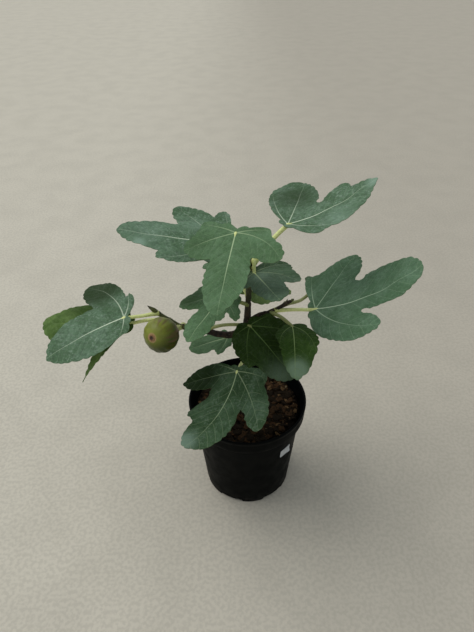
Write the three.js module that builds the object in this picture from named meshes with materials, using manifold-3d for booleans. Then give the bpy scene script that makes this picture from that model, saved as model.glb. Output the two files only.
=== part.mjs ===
// A young fig tree in a round nursery pot.
//
// Units are millimetres, +Z is up, and the origin is on the pot's axis at the level of its feet.
// A leaf's heading is measured from +X towards +Y, its pitch is the midrib's rise above the
// horizontal, and its roll lifts the left side of the blade. All angles are in degrees.

import * as THREE from 'three';
import { mergeVertices } from 'three/addons/utils/BufferGeometryUtils.js';
import Module from 'manifold-3d';

const wasm = await Module();
wasm.setup();

// ---------------------------------------------------------------- driving dimensions

const CLEARANCE = 0.3;             // gap between two pieces that bear on each other

const POT_HEIGHT = 127;
const POT_RIM_RADIUS = 65;
const POT_BASE_RADIUS = 50;
const POT_WALL = 1.8;
const POT_EDGE = 1;                // small rounding of the rim and the corners of the mould
const COLLAR_HEIGHT = 17;          // the upright band under the rim
const COLLAR_STEP = 4.5;           // how far that band stands out of the tapered body
const FOOT_HEIGHT = 5;
const FOOT_COUNT = 6;
const FOOT_SHARE = 0.48;           // share of the bottom ring that the feet take up
const FOOT_TURN = -84;             // bearing of one foot's middle
const FOOT_RING_WIDTH = 8;
const MIDDLE_FOOT_RADIUS = 14;     // the floor dips to the ground at its middle
const POT_SIDES = 48;

const MIX_BELOW_RIM = 14;          // the potting mix stops this far under the rim
const SOIL_LEVEL = POT_HEIGHT - MIX_BELOW_RIM;
const MIX_FLAT_RADIUS = 14;        // the mix is level round the trunk
const MIX_SWELL_RADIUS = 37;       // and rises and falls a little outside that
const MIX_SHOULDER = 4;            // width of the fall to the wall
const MIX_SIDES = 36;

const LABEL_WIDTH = 15;
const LABEL_HEIGHT = 12;
const LABEL_THICKNESS = 0.5;
const LABEL_BEARING = -45;
const LABEL_MIDDLE = 83;           // height of the label's middle
const LABEL_COLUMNS = 6;

const BLADE_THICKNESS = 1.6;
const BLADE_BACK = 0.05;           // the edge straight behind the petiole, as a share of the length
const NOTCH_ROUND = 1.25;          // exponent that rounds the bottom of a notch
const BLADE_EDGE_POINTS = 48;
const BLADE_EDGE_TRIALS = 1440;    // steps in which the edge's length is measured
const BLADE_RINGS = 3;
const PETIOLE_RADIUS = 1.5;
const PETIOLE_SIDES = 5;
const PETIOLE_STEPS = 8;
const PETIOLE_ROOT = 3;            // length of petiole that runs on under the blade

const FIG_RADIUS = 16.5;
const FIG_CENTRE = [-80, -34, 246];
const FIG_STALK_END = [-65, -8.2, 234.5];
const FIG_SIDES = 20;

// ---------------------------------------------------------------- limbs
// Each limb is a row of stations [x, y, z, radius].

const LIMBS = {
  trunk: {
    sides: 10,
    stations: [
      [0, 0, SOIL_LEVEL + CLEARANCE, 6.6],
      [0.2, -0.2, SOIL_LEVEL + 8, 4.9],
      [0.8, -0.6, 150, 4.2],
      [-0.4, -0.2, 190, 4.0],
      [-0.4, 0, 224, 4.7],
      [0.2, 0, 240, 3.3],
      [0.9, 0, 256, 2.6],
      [1.6, 0, 274, 2.5],
      [3.2, 0, 292, 2.4],
      [4.2, 0, 302, 1.9],
      [4.2, 0, 307, 0.5],
    ],
  },
  left_bough: {
    sides: 8,
    stations: [
      [0, 0, 226, 3.4],
      [-15, -4, 220.5, 3.4],
      [-25, -5, 221.5, 3.3],
      [-36, -6, 225.5, 2.9],
      [-50, -7, 230, 2.5],
      [-62.5, -8, 234, 2.3],
      [-71, -8.5, 240.5, 2.1],
      [-80, -9, 248.2, 2.1],
      [-86.5, -9.6, 255, 1.9],
      [-90, -10, 259.5, 0.6],
    ],
  },
  right_bough: {
    sides: 8,
    stations: [
      [0, 0, 231, 3.2],
      [10, 1, 238.5, 3.0],
      [22, 2, 242.5, 2.3],
      [30, 3, 246.8, 2.0],
      [37, 4, 251.3, 1.8],
      [41, 4.6, 253.4, 1.7],
      [44, 5, 254.6, 0.6],
    ],
  },
};
const LIMB_STEPS_PER_STATION = 2;

// ---------------------------------------------------------------- leaves
// from: where the petiole leaves its limb's middle; base: where it meets the blade;
// bow: how far the petiole's middle is lifted; curl: bend along the midrib, down is positive;
// cup: bend of the left and the right half, down is positive;
// lobes, from right to left: [angle of the tip from the midrib, share of the length, roundness of
// the side on its right, roundness of the side on its left: 1 is straight, 3 is full];
// notches beside and between them: [angle, share of the length].

const PLAIN_BLADE = {
  lobes: [[-95, 0.5, 2, 2], [-48, 0.75, 2, 2], [0, 1, 1.6, 1.6], [48, 0.75, 2, 2], [95, 0.5, 2, 2]],
  notches: [[-130, 0.2], [-72, 0.42], [-25, 0.5], [25, 0.5], [72, 0.42], [130, 0.2]],
};

const LEAVES = [
  {
    name: 'leaf_top_right', limb: 'trunk', from: [3.5, 0, 296], base: [36, 12, 333],
    bow: 3, heading: 17, pitch: 0, roll: -5, length: 92, curl: -40, cup: [-5, -5],
    lobes: [[-57, 0.38, 2, 2], [0, 1, 1, 1.5], [19, 0.84, 2, 3], [64, 0.93, 1.8, 2.5]],
    notches: [[-85, 0.1], [-44, 0.41], [13, 0.82], [29, 0.52], [100, 0.12]],
  },
  {
    name: 'leaf_top_left', limb: 'trunk', from: [2, 0, 280], base: [-19, 4, 319],
    bow: 2, heading: 176, pitch: 5, roll: -10, length: 97, curl: -5, cup: [15, 15],
    lobes: [[-84, 0.53, 2.5, 2], [-43, 0.72, 2, 2], [0, 1, 1.8, 1.6], [25, 0.66, 2, 1.1], [88, 0.3, 2, 2]],
    notches: [[-96, 0.27], [-70, 0.42], [-24, 0.51], [18, 0.62], [55, 0.3], [110, 0.2]],
  },
  {
    name: 'leaf_top_front', limb: 'trunk', from: [2.7, 0, 288], base: [-10, -19, 342],
    bow: 2, heading: -103, pitch: -20, roll: 5, length: 78, curl: 10, cup: [-10, -10],
    lobes: [[-104, 0.4, 2.5, 2], [-60, 0.58, 2, 2], [0, 1, 1.8, 1.3], [59, 0.64, 2, 2], [96, 0.38, 2, 1.5]],
    notches: [[-122, 0.2], [-82, 0.43], [-29, 0.42], [36, 0.4], [82, 0.41], [118, 0.15]],
  },
  {
    name: 'leaf_mid_left', limb: 'trunk', from: [0.9, 0, 254], base: [-24, -23, 280],
    bow: 0, heading: -118, pitch: -5, roll: 5, length: 58, curl: 5, cup: [20, 20],
    lobes: [
      [-112, 0.5, 2, 2], [-60, 0.67, 2, 2], [0, 1, 1.8, 2],
      [27, 0.54, 2, 2], [52, 0.6, 3, 1.5], [98, 0.33, 2, 2],
    ],
    notches: [[-145, 0.25], [-92, 0.5], [-29, 0.4], [22, 0.55], [41, 0.38], [78, 0.35], [130, 0.2]],
  },
  {
    name: 'leaf_mid_right', limb: 'trunk', from: [5.4, -0.6, 302], base: [6, -10, 297],
    bow: 8, heading: -70, pitch: 10, roll: 5, length: 61, curl: 0, cup: [20, 20],
    lobes: [[-95, 0.39, 2, 2], [-47, 0.49, 2, 2], [-2, 1, 1.6, 2], [36, 0.75, 2, 1.5], [98, 0.59, 2, 2.5]],
    notches: [[-135, 0.2], [-75, 0.37], [-31, 0.42], [23, 0.59], [71, 0.56], [145, 0.2]],
  },
  {
    name: 'leaf_mid_back', limb: 'trunk', from: [1.5, 0, 271], base: [8, 23, 256],
    bow: 1, heading: 50, pitch: 0, roll: 5, length: 50, curl: 10, cup: [10, 10],
    lobes: [[-100, 0.48, 3, 2], [-48, 0.75, 2, 2], [0, 1, 1.6, 1.6], [48, 0.75, 2, 2], [100, 0.48, 2, 3]],
    notches: [[-165, 0.3], [-72, 0.45], [-26, 0.52], [26, 0.52], [72, 0.45], [165, 0.3]],
  },
  {
    name: 'leaf_back', limb: 'trunk', from: [1.2, 0, 263], base: [-14, 36, 270],
    bow: 3, heading: 110, pitch: 5, roll: 0, length: 44, curl: 20, cup: [15, 15],
    ...PLAIN_BLADE,
  },
  {
    name: 'leaf_low_left', limb: 'trunk', from: [-0.4, 0, 200], base: [-20, 5, 209],
    bow: 1, heading: 200, pitch: 0, roll: -5, length: 41, curl: 10, cup: [10, 10],
    lobes: [[-89, 0.3, 2, 2], [-45, 0.62, 1.3, 2], [0, 1, 2, 2], [46, 0.6, 2, 2], [80, 0.3, 2, 2]],
    notches: [[-112, 0.2], [-73, 0.28], [-31, 0.52], [32, 0.51], [66, 0.36], [105, 0.18]],
  },
  {
    name: 'leaf_pot_front', limb: 'trunk', from: [-0.4, -0.2, 184], base: [-11, -27, 192],
    bow: 3, heading: -120, pitch: -35, roll: 15, length: 93, curl: -40, cup: [10, 10],
    lobes: [[-62, 0.7, 1.2, 1.5], [-22, 0.7, 1.8, 2], [1, 1, 2, 2], [49, 0.74, 2.5, 1.5], [96, 0.38, 2, 2]],
    notches: [[-110, 0.1], [-37, 0.33], [-14, 0.69], [36, 0.46], [84, 0.38], [122, 0.15]],
  },
  {
    name: 'leaf_centre_front', limb: 'left_bough', from: [-45, -6.6, 228.4], base: [2, -16, 241],
    bow: 4, heading: -50, pitch: -20, roll: 10, length: 65, curl: 10, cup: [10, 10],
    lobes: [[-40, 0.66, 1, 2], [1, 1, 2, 2.2], [44, 0.67, 2, 2], [82, 0.4, 2, 3]],
    notches: [[-118, 0.2], [-31, 0.62], [33, 0.65], [72, 0.46], [99, 0.2]],
  },
  {
    name: 'leaf_far_left', limb: 'left_bough', from: [-84, -9.3, 252.8], base: [-114, -22, 258],
    bow: -1, heading: 207, pitch: -10, roll: -10, length: 76, curl: 10, cup: [20, 25],
    lobes: [[-119, 0.42, 1.5, 3], [-80, 0.94, 1.8, 2.5], [2, 1.02, 1.5, 1.1], [72, 0.24, 2, 2]],
    notches: [[-155, 0.12], [-114, 0.38], [-54, 0.46], [58, 0.28], [100, 0.12]],
  },
  {
    name: 'leaf_far_left_under', limb: 'left_bough', from: [-74, -8.6, 243.2], base: [-114, -9, 241],
    bow: 2, heading: 177, pitch: 0, roll: -5, length: 88, curl: 10, cup: [110, 10],
    lobes: [[-51, 0.54, 1.5, 2], [-4, 1, 1.6, 1.6], [54, 0.86, 0.7, 0.6]],
    notches: [[-90, 0.12], [-38, 0.5], [43, 0.42], [71, 0.15]],
  },
  {
    name: 'leaf_right', limb: 'right_bough', from: [26, 2.5, 244.6], base: [66, 1, 247],
    bow: 0, heading: -5, pitch: 25, roll: 5, length: 107, curl: -20, cup: [0, 0],
    lobes: [[-45, 0.71, 1.2, 3], [-5, 1, 2.2, 2.2], [50, 0.7, 2, 1.3], [94, 0.46, 2, 2.5]],
    notches: [[-120, 0.12], [-30, 0.47], [23, 0.46], [82, 0.47], [109, 0.12]],
  },
  {
    name: 'leaf_right_under', limb: 'right_bough', from: [37, 4, 251.3], base: [72, 44, 240],
    bow: -5, heading: 0, pitch: -10, roll: 0, length: 54, curl: 15, cup: [15, 15],
    ...PLAIN_BLADE,
  },
  {
    name: 'leaf_right_front', limb: 'right_bough', from: [23, 2, 242.8], base: [41, -26, 248],
    bow: 2, heading: -96, pitch: 15, roll: 5, length: 63, curl: 50, cup: [10, 10],
    lobes: [[-30, 0.42, 1.3, 1.5], [2, 1, 1.5, 1.8], [36, 0.6, 1, 1.3]],
    notches: [[-75, 0.15], [-18, 0.55], [24, 0.72], [75, 0.22]],
  },
];

// ---------------------------------------------------------------- materials

const finish = (color, roughness) => new THREE.MeshStandardMaterial({
  color, roughness, metalness: 0, side: THREE.DoubleSide,
});

const LOOKS = {
  plastic: [0x17191b, 0.45],
  mix: [0x33241a, 0.95],
  paper: [0xe9e9e6, 0.6],
  bark: [0x241a12, 0.85],
  leaf: [0x4b6b4c, 0.55],
  fruit: [0x5c6a2c, 0.5],
};

// ---------------------------------------------------------------- helpers

const radians = THREE.MathUtils.degToRad;
const vector = ([x, y, z]) => new THREE.Vector3(x, y, z);

function geometryOf(positions, triangles) {
  const geometry = new THREE.BufferGeometry();
  geometry.setAttribute('position', new THREE.Float32BufferAttribute(positions, 3));
  geometry.setIndex(triangles);
  return geometry;
}

function solidOf(geometry) {
  const bare = geometry.clone();
  bare.deleteAttribute('normal');
  bare.deleteAttribute('uv');
  const merged = mergeVertices(bare, 1e-4);
  return new wasm.Manifold(new wasm.Mesh({
    numProp: 3,
    vertProperties: new Float32Array(merged.attributes.position.array),
    triVerts: new Uint32Array(merged.index.array),
  }));
}

function geometryOfSolid(solid) {
  const mesh = solid.getMesh();
  return geometryOf(Array.from(mesh.vertProperties), Array.from(mesh.triVerts));
}

function piece(name, geometry, look) {
  const mesh = new THREE.Mesh(geometry, finish(...LOOKS[look]));
  mesh.name = name;
  mesh.geometry.computeVertexNormals();
  return mesh;
}

// A closed tube of rings round a path; radiusAt gives the radius at a share of the path.
function tube(curve, radiusAt, sides, steps) {
  const frames = curve.computeFrenetFrames(steps, false);
  const positions = [];
  const triangles = [];
  const ring = (step, side) => step * sides + (side % sides);
  for (let step = 0; step <= steps; step++) {
    const middle = curve.getPointAt(step / steps);
    const radius = radiusAt(step / steps);
    for (let side = 0; side < sides; side++) {
      const turn = (2 * Math.PI * side) / sides;
      const point = middle.clone()
        .addScaledVector(frames.normals[step], radius * Math.cos(turn))
        .addScaledVector(frames.binormals[step], radius * Math.sin(turn));
      positions.push(point.x, point.y, point.z);
    }
  }
  for (let step = 0; step < steps; step++) {
    for (let side = 0; side < sides; side++) {
      triangles.push(ring(step, side), ring(step, side + 1), ring(step + 1, side + 1));
      triangles.push(ring(step, side), ring(step + 1, side + 1), ring(step + 1, side));
    }
  }
  for (let side = 1; side < sides - 1; side++) {
    triangles.push(ring(0, 0), ring(0, side + 1), ring(0, side));
    triangles.push(ring(steps, 0), ring(steps, side), ring(steps, side + 1));
  }
  return geometryOf(positions, triangles);
}

// ---------------------------------------------------------------- pot, mix and label

// Outer radius of the tapered body at a height.
const bodyRadius = (height) => {
  const top = POT_RIM_RADIUS - POT_EDGE - COLLAR_STEP;
  return POT_BASE_RADIUS + ((top - POT_BASE_RADIUS) * height) / (POT_HEIGHT - COLLAR_HEIGHT);
};

function lathe(profile, sides) {
  const geometry = new THREE.LatheGeometry(profile.map(([r, z]) => new THREE.Vector2(r, z)), sides);
  geometry.rotateX(Math.PI / 2);
  return geometry;
}

function pot() {
  const collarFoot = POT_HEIGHT - COLLAR_HEIGHT;
  const recessTop = FOOT_HEIGHT - POT_EDGE;
  const floorTop = FOOT_HEIGHT + POT_EDGE;
  const footRing = POT_BASE_RADIUS - FOOT_RING_WIDTH;
  let cut = solidOf(lathe([
    [0, 0],
    [MIDDLE_FOOT_RADIUS, 0],
    [MIDDLE_FOOT_RADIUS + 2 * POT_EDGE, recessTop],
    [footRing, recessTop],
    [footRing + POT_EDGE, 0],
    [POT_BASE_RADIUS, 0],
    [bodyRadius(collarFoot), collarFoot],
    [POT_RIM_RADIUS - POT_EDGE, collarFoot],
    [POT_RIM_RADIUS, POT_HEIGHT - POT_EDGE],
    [POT_RIM_RADIUS - POT_EDGE, POT_HEIGHT],
    [POT_RIM_RADIUS - POT_WALL - POT_EDGE / 2, POT_HEIGHT - POT_EDGE / 2],
    [bodyRadius(collarFoot) - POT_WALL + 1.5 * POT_EDGE, collarFoot + POT_EDGE],
    [bodyRadius(collarFoot) - POT_WALL, collarFoot - 2 * POT_EDGE],
    [bodyRadius(FOOT_HEIGHT) - POT_WALL, floorTop],
    [0, floorTop],
  ], POT_SIDES));
  const recess = ((1 - FOOT_SHARE) * 2 * Math.PI * POT_BASE_RADIUS) / FOOT_COUNT;
  for (let foot = 0; foot < FOOT_COUNT; foot++) {
    const block = new THREE.BoxGeometry(FOOT_RING_WIDTH * 2.5, recess, recessTop * 2);
    block.translate(POT_BASE_RADIUS, 0, 0);
    block.rotateZ(radians(FOOT_TURN + (360 * (foot + 0.5)) / FOOT_COUNT));
    cut = cut.subtract(solidOf(block));
  }
  return piece('pot', geometryOfSolid(cut), 'plastic');
}

function pottingMix() {
  const floor = FOOT_HEIGHT + POT_EDGE + CLEARANCE;
  const ledge = POT_HEIGHT - COLLAR_HEIGHT;
  const edge = bodyRadius(ledge) - POT_WALL - CLEARANCE;
  const geometry = lathe([
    [0, floor],
    [bodyRadius(FOOT_HEIGHT) - POT_WALL - CLEARANCE, floor],
    [edge, ledge - 2.5 * POT_EDGE],
    [edge + POT_EDGE, SOIL_LEVEL - 1.5 * POT_EDGE],
    [edge - MIX_SHOULDER, SOIL_LEVEL + POT_EDGE],
    [MIX_SWELL_RADIUS, SOIL_LEVEL - POT_EDGE / 2],
    [MIX_FLAT_RADIUS, SOIL_LEVEL],
    [0, SOIL_LEVEL],
  ], MIX_SIDES);
  return piece('potting_mix', geometryOfSolid(solidOf(geometry)), 'mix');
}

function label() {
  const columns = LABEL_COLUMNS;
  const positions = [];
  const triangles = [];
  for (let face = 0; face < 2; face++) {
    for (let row = 0; row < 2; row++) {
      const height = LABEL_MIDDLE + LABEL_HEIGHT * (row - 0.5);
      const radius = bodyRadius(height) + CLEARANCE + face * LABEL_THICKNESS;
      for (let column = 0; column <= columns; column++) {
        const across = (LABEL_WIDTH * (column / columns - 0.5)) / radius;
        const bearing = radians(LABEL_BEARING) + across;
        positions.push(radius * Math.cos(bearing), radius * Math.sin(bearing), height);
      }
    }
  }
  const at = (face, row, column) => (face * 2 + row) * (columns + 1) + column;
  const quad = (a, b, c, d) => triangles.push(a, b, c, a, c, d);
  for (let column = 0; column < columns; column++) {
    quad(at(1, 0, column), at(1, 0, column + 1), at(1, 1, column + 1), at(1, 1, column));
    quad(at(0, 0, column + 1), at(0, 0, column), at(0, 1, column), at(0, 1, column + 1));
    quad(at(0, 0, column), at(0, 0, column + 1), at(1, 0, column + 1), at(1, 0, column));
    quad(at(1, 1, column), at(1, 1, column + 1), at(0, 1, column + 1), at(0, 1, column));
  }
  quad(at(0, 0, 0), at(1, 0, 0), at(1, 1, 0), at(0, 1, 0));
  quad(at(1, 0, columns), at(0, 0, columns), at(0, 1, columns), at(1, 1, columns));
  return piece('label', geometryOf(positions, triangles), 'paper');
}

// ---------------------------------------------------------------- trunk and boughs

function limbSolid(limb, grow = 0) {
  const { stations, sides } = LIMBS[limb];
  const curve = new THREE.CatmullRomCurve3(stations.map(vector), false, 'centripetal');
  const last = stations.length - 1;
  const radiusAt = (share) => {
    const station = curve.getUtoTmapping(share) * last;
    const below = Math.min(Math.floor(station), last - 1);
    const step = station - below;
    const smooth = step * step * (3 - 2 * step);
    return THREE.MathUtils.lerp(stations[below][3], stations[below + 1][3], smooth) + grow;
  };
  return solidOf(tube(curve, radiusAt, sides, last * LIMB_STEPS_PER_STATION));
}

// The trunk ends below in a flat cut just over the mix.
function trunk() {
  const ground = solidOf(new THREE.BoxGeometry(POT_RIM_RADIUS, POT_RIM_RADIUS, SOIL_LEVEL))
    .translate([0, 0, SOIL_LEVEL / 2 + CLEARANCE]);
  return piece('trunk', geometryOfSolid(limbSolid('trunk').subtract(ground)), 'bark');
}

function bough(name) {
  return piece(name, geometryOfSolid(limbSolid(name).subtract(limbSolid('trunk', CLEARANCE))), 'bark');
}

// ---------------------------------------------------------------- leaves

// Radius of the blade's outline at an angle from the midrib. With t going from 0 at a lobe's tip
// to 1 in the notch beside it, the radius follows (1 - t ^ roundness) ^ NOTCH_ROUND between the
// two. Behind the outer notches it runs smoothly to BLADE_BACK.
function bladeRadius({ length, lobes, notches }, angle) {
  const passed = notches.filter(([at]) => at < angle).length;
  const mine = THREE.MathUtils.clamp(passed - 1, 0, lobes.length - 1);
  const [middle, share, right, left] = lobes[mine];
  const onLeft = angle > middle;
  const [notch, depth] = notches[onLeft ? mine + 1 : mine];
  const t = Math.min((angle - middle) / (notch - middle), 1);
  const rise = (1 - t ** (onLeft ? left : right)) ** NOTCH_ROUND;
  const outer = Math.abs(onLeft ? notches[lobes.length][0] : notches[0][0]);
  const behind = THREE.MathUtils.smoothstep(Math.abs(angle), outer, 180);
  return length * THREE.MathUtils.lerp(depth + (share - depth) * rise, BLADE_BACK, behind);
}

// Midrib, left-hand and upper directions of a blade at its base.
function bladeFrame({ heading, pitch, roll }) {
  const [h, p, r] = [heading, pitch, roll].map(radians);
  const midrib = new THREE.Vector3(Math.cos(p) * Math.cos(h), Math.cos(p) * Math.sin(h), Math.sin(p));
  const level = new THREE.Vector3(-Math.sin(h), Math.cos(h), 0);
  const upper = midrib.clone().cross(level);
  const left = level.clone().multiplyScalar(Math.cos(r)).addScaledVector(upper, Math.sin(r));
  return { midrib, left, upper: midrib.clone().cross(left) };
}

// A point of the blade's middle surface: it bends in one arc along the midrib and one across.
function bladePoint(leaf, frame, along, across) {
  const arc = (bend, length) => {
    if (bend === 0) return { reach: length, drop: 0, turn: 0 };
    const rate = radians(bend) / leaf.length;
    const turn = rate * length;
    return { reach: Math.sin(turn) / rate, drop: (1 - Math.cos(turn)) / rate, turn };
  };
  const main = arc(leaf.curl, along);
  const side = arc(leaf.cup[across > 0 ? 0 : 1], Math.abs(across));
  const upper = frame.upper.clone().multiplyScalar(Math.cos(main.turn))
    .addScaledVector(frame.midrib, Math.sin(main.turn));
  return vector(leaf.base)
    .addScaledVector(frame.midrib, main.reach)
    .addScaledVector(frame.upper, -main.drop)
    .addScaledVector(frame.left, Math.sign(across) * side.reach)
    .addScaledVector(upper, -side.drop);
}

// Angles that share out a blade's edge in equal lengths.
function edgeAngles(leaf) {
  const fine = BLADE_EDGE_TRIALS;
  const flat = (step) => {
    const angle = (360 * step) / fine - 180;
    const turn = radians(angle);
    return new THREE.Vector2(Math.cos(turn), Math.sin(turn)).multiplyScalar(bladeRadius(leaf, angle));
  };
  const lengths = [0];
  for (let step = 1; step <= fine; step++) {
    lengths.push(lengths[step - 1] + flat(step).distanceTo(flat(step - 1)));
  }
  const angles = [];
  let step = 0;
  for (let point = 0; point < BLADE_EDGE_POINTS; point++) {
    const goal = (lengths[fine] * point) / BLADE_EDGE_POINTS;
    while (lengths[step + 1] < goal) step++;
    const share = (goal - lengths[step]) / (lengths[step + 1] - lengths[step]);
    angles.push((360 * (step + share)) / fine - 180);
  }
  return angles;
}

function bladeSolid(leaf) {
  const frame = bladeFrame(leaf);
  const angles = edgeAngles(leaf);
  const count = angles.length;
  const middle = [bladePoint(leaf, frame, 0, 0)];
  for (let ring = 1; ring <= BLADE_RINGS; ring++) {
    for (const angle of angles) {
      const radius = (bladeRadius(leaf, angle) * ring) / BLADE_RINGS;
      const turn = radians(angle);
      middle.push(bladePoint(leaf, frame, radius * Math.cos(turn), radius * Math.sin(turn)));
    }
  }
  const at = (ring, point) => (ring === 0 ? 0 : 1 + (ring - 1) * count + (point % count));
  const faces = [];
  for (let ring = 0; ring < BLADE_RINGS; ring++) {
    for (let point = 0; point < count; point++) {
      faces.push([at(ring, point), at(ring + 1, point), at(ring + 1, point + 1)]);
      if (ring > 0) faces.push([at(ring, point), at(ring + 1, point + 1), at(ring, point + 1)]);
    }
  }
  const sheet = geometryOf(middle.flatMap((point) => point.toArray()), faces.flat());
  sheet.computeVertexNormals();
  const normals = sheet.attributes.normal;
  const positions = [];
  for (const side of [0.5, -0.5]) {
    middle.forEach((point, index) => {
      const normal = new THREE.Vector3().fromBufferAttribute(normals, index);
      positions.push(...point.clone().addScaledVector(normal, side * BLADE_THICKNESS).toArray());
    });
  }
  const under = middle.length;
  const triangles = faces.flat();
  for (const [a, b, c] of faces) triangles.push(under + a, under + c, under + b);
  for (let point = 0; point < count; point++) {
    const a = at(BLADE_RINGS, point);
    const b = at(BLADE_RINGS, point + 1);
    triangles.push(a, under + a, under + b, a, under + b, b);
  }
  return solidOf(geometryOf(positions, triangles));
}

function petioleSolid(leaf) {
  const start = vector(leaf.from);
  const end = vector(leaf.base);
  const middle = start.clone().lerp(end, 0.5).add(new THREE.Vector3(0, 0, leaf.bow));
  const root = end.clone().addScaledVector(bladeFrame(leaf).midrib, PETIOLE_ROOT);
  const curve = new THREE.CatmullRomCurve3([start, middle, end, root], false, 'centripetal');
  return solidOf(tube(curve, () => PETIOLE_RADIUS, PETIOLE_SIDES, PETIOLE_STEPS));
}

function leafPiece(leaf) {
  const whole = bladeSolid(leaf).add(petioleSolid(leaf));
  return piece(leaf.name, geometryOfSolid(whole.subtract(limbSolid(leaf.limb, CLEARANCE))), 'leaf');
}

// ---------------------------------------------------------------- fruit

// The fig's profile runs from its eye to the end of its stalk, [radius, distance from the middle].
function fig() {
  const r = FIG_RADIUS;
  const geometry = lathe([
    [0, -0.93 * r],
    [0.2 * r, -0.98 * r],
    [0.55 * r, -0.86 * r],
    [0.86 * r, -0.5 * r],
    [1.0 * r, 0],
    [0.93 * r, 0.4 * r],
    [0.7 * r, 0.75 * r],
    [0.4 * r, 1.05 * r],
    [0.2 * r, 1.35 * r],
    [0.13 * r, 1.6 * r],
    [0.13 * r, 2.4 * r],
    [0, 2.4 * r],
  ], FIG_SIDES);
  const axis = vector(FIG_STALK_END).sub(vector(FIG_CENTRE)).normalize();
  geometry.applyQuaternion(new THREE.Quaternion().setFromUnitVectors(new THREE.Vector3(0, 0, 1), axis));
  geometry.translate(...FIG_CENTRE);
  const cut = solidOf(geometry).subtract(limbSolid('left_bough', CLEARANCE));
  return piece('fig', geometryOfSolid(cut), 'fruit');
}

// ---------------------------------------------------------------- the plant

const plant = new THREE.Group();
plant.add(pot(), pottingMix(), label(), trunk(), bough('left_bough'), bough('right_bough'), fig());
plant.add(...LEAVES.map(leafPiece));

export default plant;
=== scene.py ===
"""A young fig tree in a round nursery pot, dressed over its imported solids.

Lengths are millimetres and angles are degrees until a mesh is made, which is in metres. The frame
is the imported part's: +Z up, the origin on the pot's axis at the level of its feet, and -Y towards
the front. Every surface is worked out with numpy as a grid of points that closes on itself.
"""

import math

import bpy
import numpy as np
from mathutils import Matrix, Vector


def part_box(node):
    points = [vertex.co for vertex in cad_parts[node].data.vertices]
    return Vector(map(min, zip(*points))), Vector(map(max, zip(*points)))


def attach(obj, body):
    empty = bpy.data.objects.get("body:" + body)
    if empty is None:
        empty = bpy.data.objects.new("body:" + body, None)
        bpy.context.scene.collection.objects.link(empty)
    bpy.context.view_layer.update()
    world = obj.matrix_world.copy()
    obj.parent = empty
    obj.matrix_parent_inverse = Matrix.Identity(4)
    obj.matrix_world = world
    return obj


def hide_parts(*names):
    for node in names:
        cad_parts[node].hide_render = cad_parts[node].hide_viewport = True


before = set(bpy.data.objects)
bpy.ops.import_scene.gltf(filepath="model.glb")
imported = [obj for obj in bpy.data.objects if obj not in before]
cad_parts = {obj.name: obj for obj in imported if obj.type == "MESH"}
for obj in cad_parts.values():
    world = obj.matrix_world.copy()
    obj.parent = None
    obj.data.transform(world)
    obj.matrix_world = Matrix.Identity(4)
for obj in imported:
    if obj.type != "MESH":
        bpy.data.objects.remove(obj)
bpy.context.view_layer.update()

MM = 0.001
SEED = 7

# ---------------------------------------------------------------- camera

IMAGE_HEIGHT = 632                     # pixels
FOCAL_PIXELS = 511
SENSOR_MM = 36
CAMERA_PLACE = (-10, -392.5, 546)
CAMERA_PITCH = 37.9                    # below the horizontal
CAMERA_ROLL = 0.9
CLIP_START = 0.01                      # metres
CLIP_END = 100


def make_camera():
    """Looks along +Y and down by the pitch: its right and up directions are the level ones rolled."""
    pitch, roll = np.radians([CAMERA_PITCH, CAMERA_ROLL])
    forward = np.array([0, np.cos(pitch), -np.sin(pitch)])
    level = np.array([1, 0, 0])
    down = np.array([0, -np.sin(pitch), -np.cos(pitch)])
    right = np.cos(roll) * level + np.sin(roll) * down
    up = np.sin(roll) * level - np.cos(roll) * down
    data = bpy.data.cameras.new("camera")
    data.sensor_width = SENSOR_MM
    data.lens = FOCAL_PIXELS * SENSOR_MM / IMAGE_HEIGHT
    data.clip_start = CLIP_START
    data.clip_end = CLIP_END
    camera = bpy.data.objects.new("camera", data)
    turn = Matrix(np.stack([right, up, -forward], 1).tolist())
    camera.matrix_world = Matrix.Translation(np.array(CAMERA_PLACE) * MM) @ turn.to_4x4()
    bpy.context.scene.collection.objects.link(camera)
    bpy.context.scene.camera = camera


# ---------------------------------------------------------------- arrays and meshes


def unit(vectors):
    """The vectors at length 1."""
    return vectors / np.linalg.norm(vectors, axis=-1, keepdims=True)


def smooth(value, low, high):
    """0 below low, 1 above high, and 3t^2 - 2t^3 between."""
    t = np.clip((value - low) / (high - low), 0, 1)
    return t * t * (3 - 2 * t)


def wrapped(angle):
    """The same angle, from -180 up to 180."""
    return (angle + 180) % 360 - 180


def bell(distance, width):
    """exp(-(distance / width)^2): 1 in the middle, and next to nothing from two widths on."""
    return np.exp(-((distance / width) ** 2))


def from_to(ends, t):
    """A straight run from the first of two ends, at t = 0, to the second, at t = 1."""
    return ends[0] + (ends[1] - ends[0]) * t


def rounded_square(turn, power):
    """How far the outline |x|^power + |y|^power = 1 reaches at a turn."""
    return (np.abs(np.cos(turn)) ** power + np.abs(np.sin(turn)) ** power) ** (-1 / power)


def lengths_along(points):
    """How far along a row of points each of them is."""
    return np.concatenate([[0], np.cumsum(np.linalg.norm(np.diff(points, axis=0), axis=1))])


def even_lengths(path):
    """The same for a path whose points are evenly spaced."""
    return np.arange(len(path)) * np.linalg.norm(path[1] - path[0])


def shell(grid):
    """A closed surface from a grid of rows of points that each go round: its end rows close on their middles.

    Returns the points, the quads between the rows and the triangles at the two ends.
    """
    rows, columns = grid.shape[:2]
    points = np.concatenate([grid.reshape(-1, 3), grid[[0, -1]].mean(1)])
    index = np.arange(rows * columns).reshape(rows, columns)
    after = np.roll(index, -1, 1)
    quads = np.stack([index[:-1], after[:-1], after[1:], index[1:]], -1).reshape(-1, 4)
    first = np.stack([np.full(columns, rows * columns), after[0], index[0]], -1)
    last = np.stack([np.full(columns, rows * columns + 1), index[-1], after[-1]], -1)
    return points, quads, np.concatenate([first, last])


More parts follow.
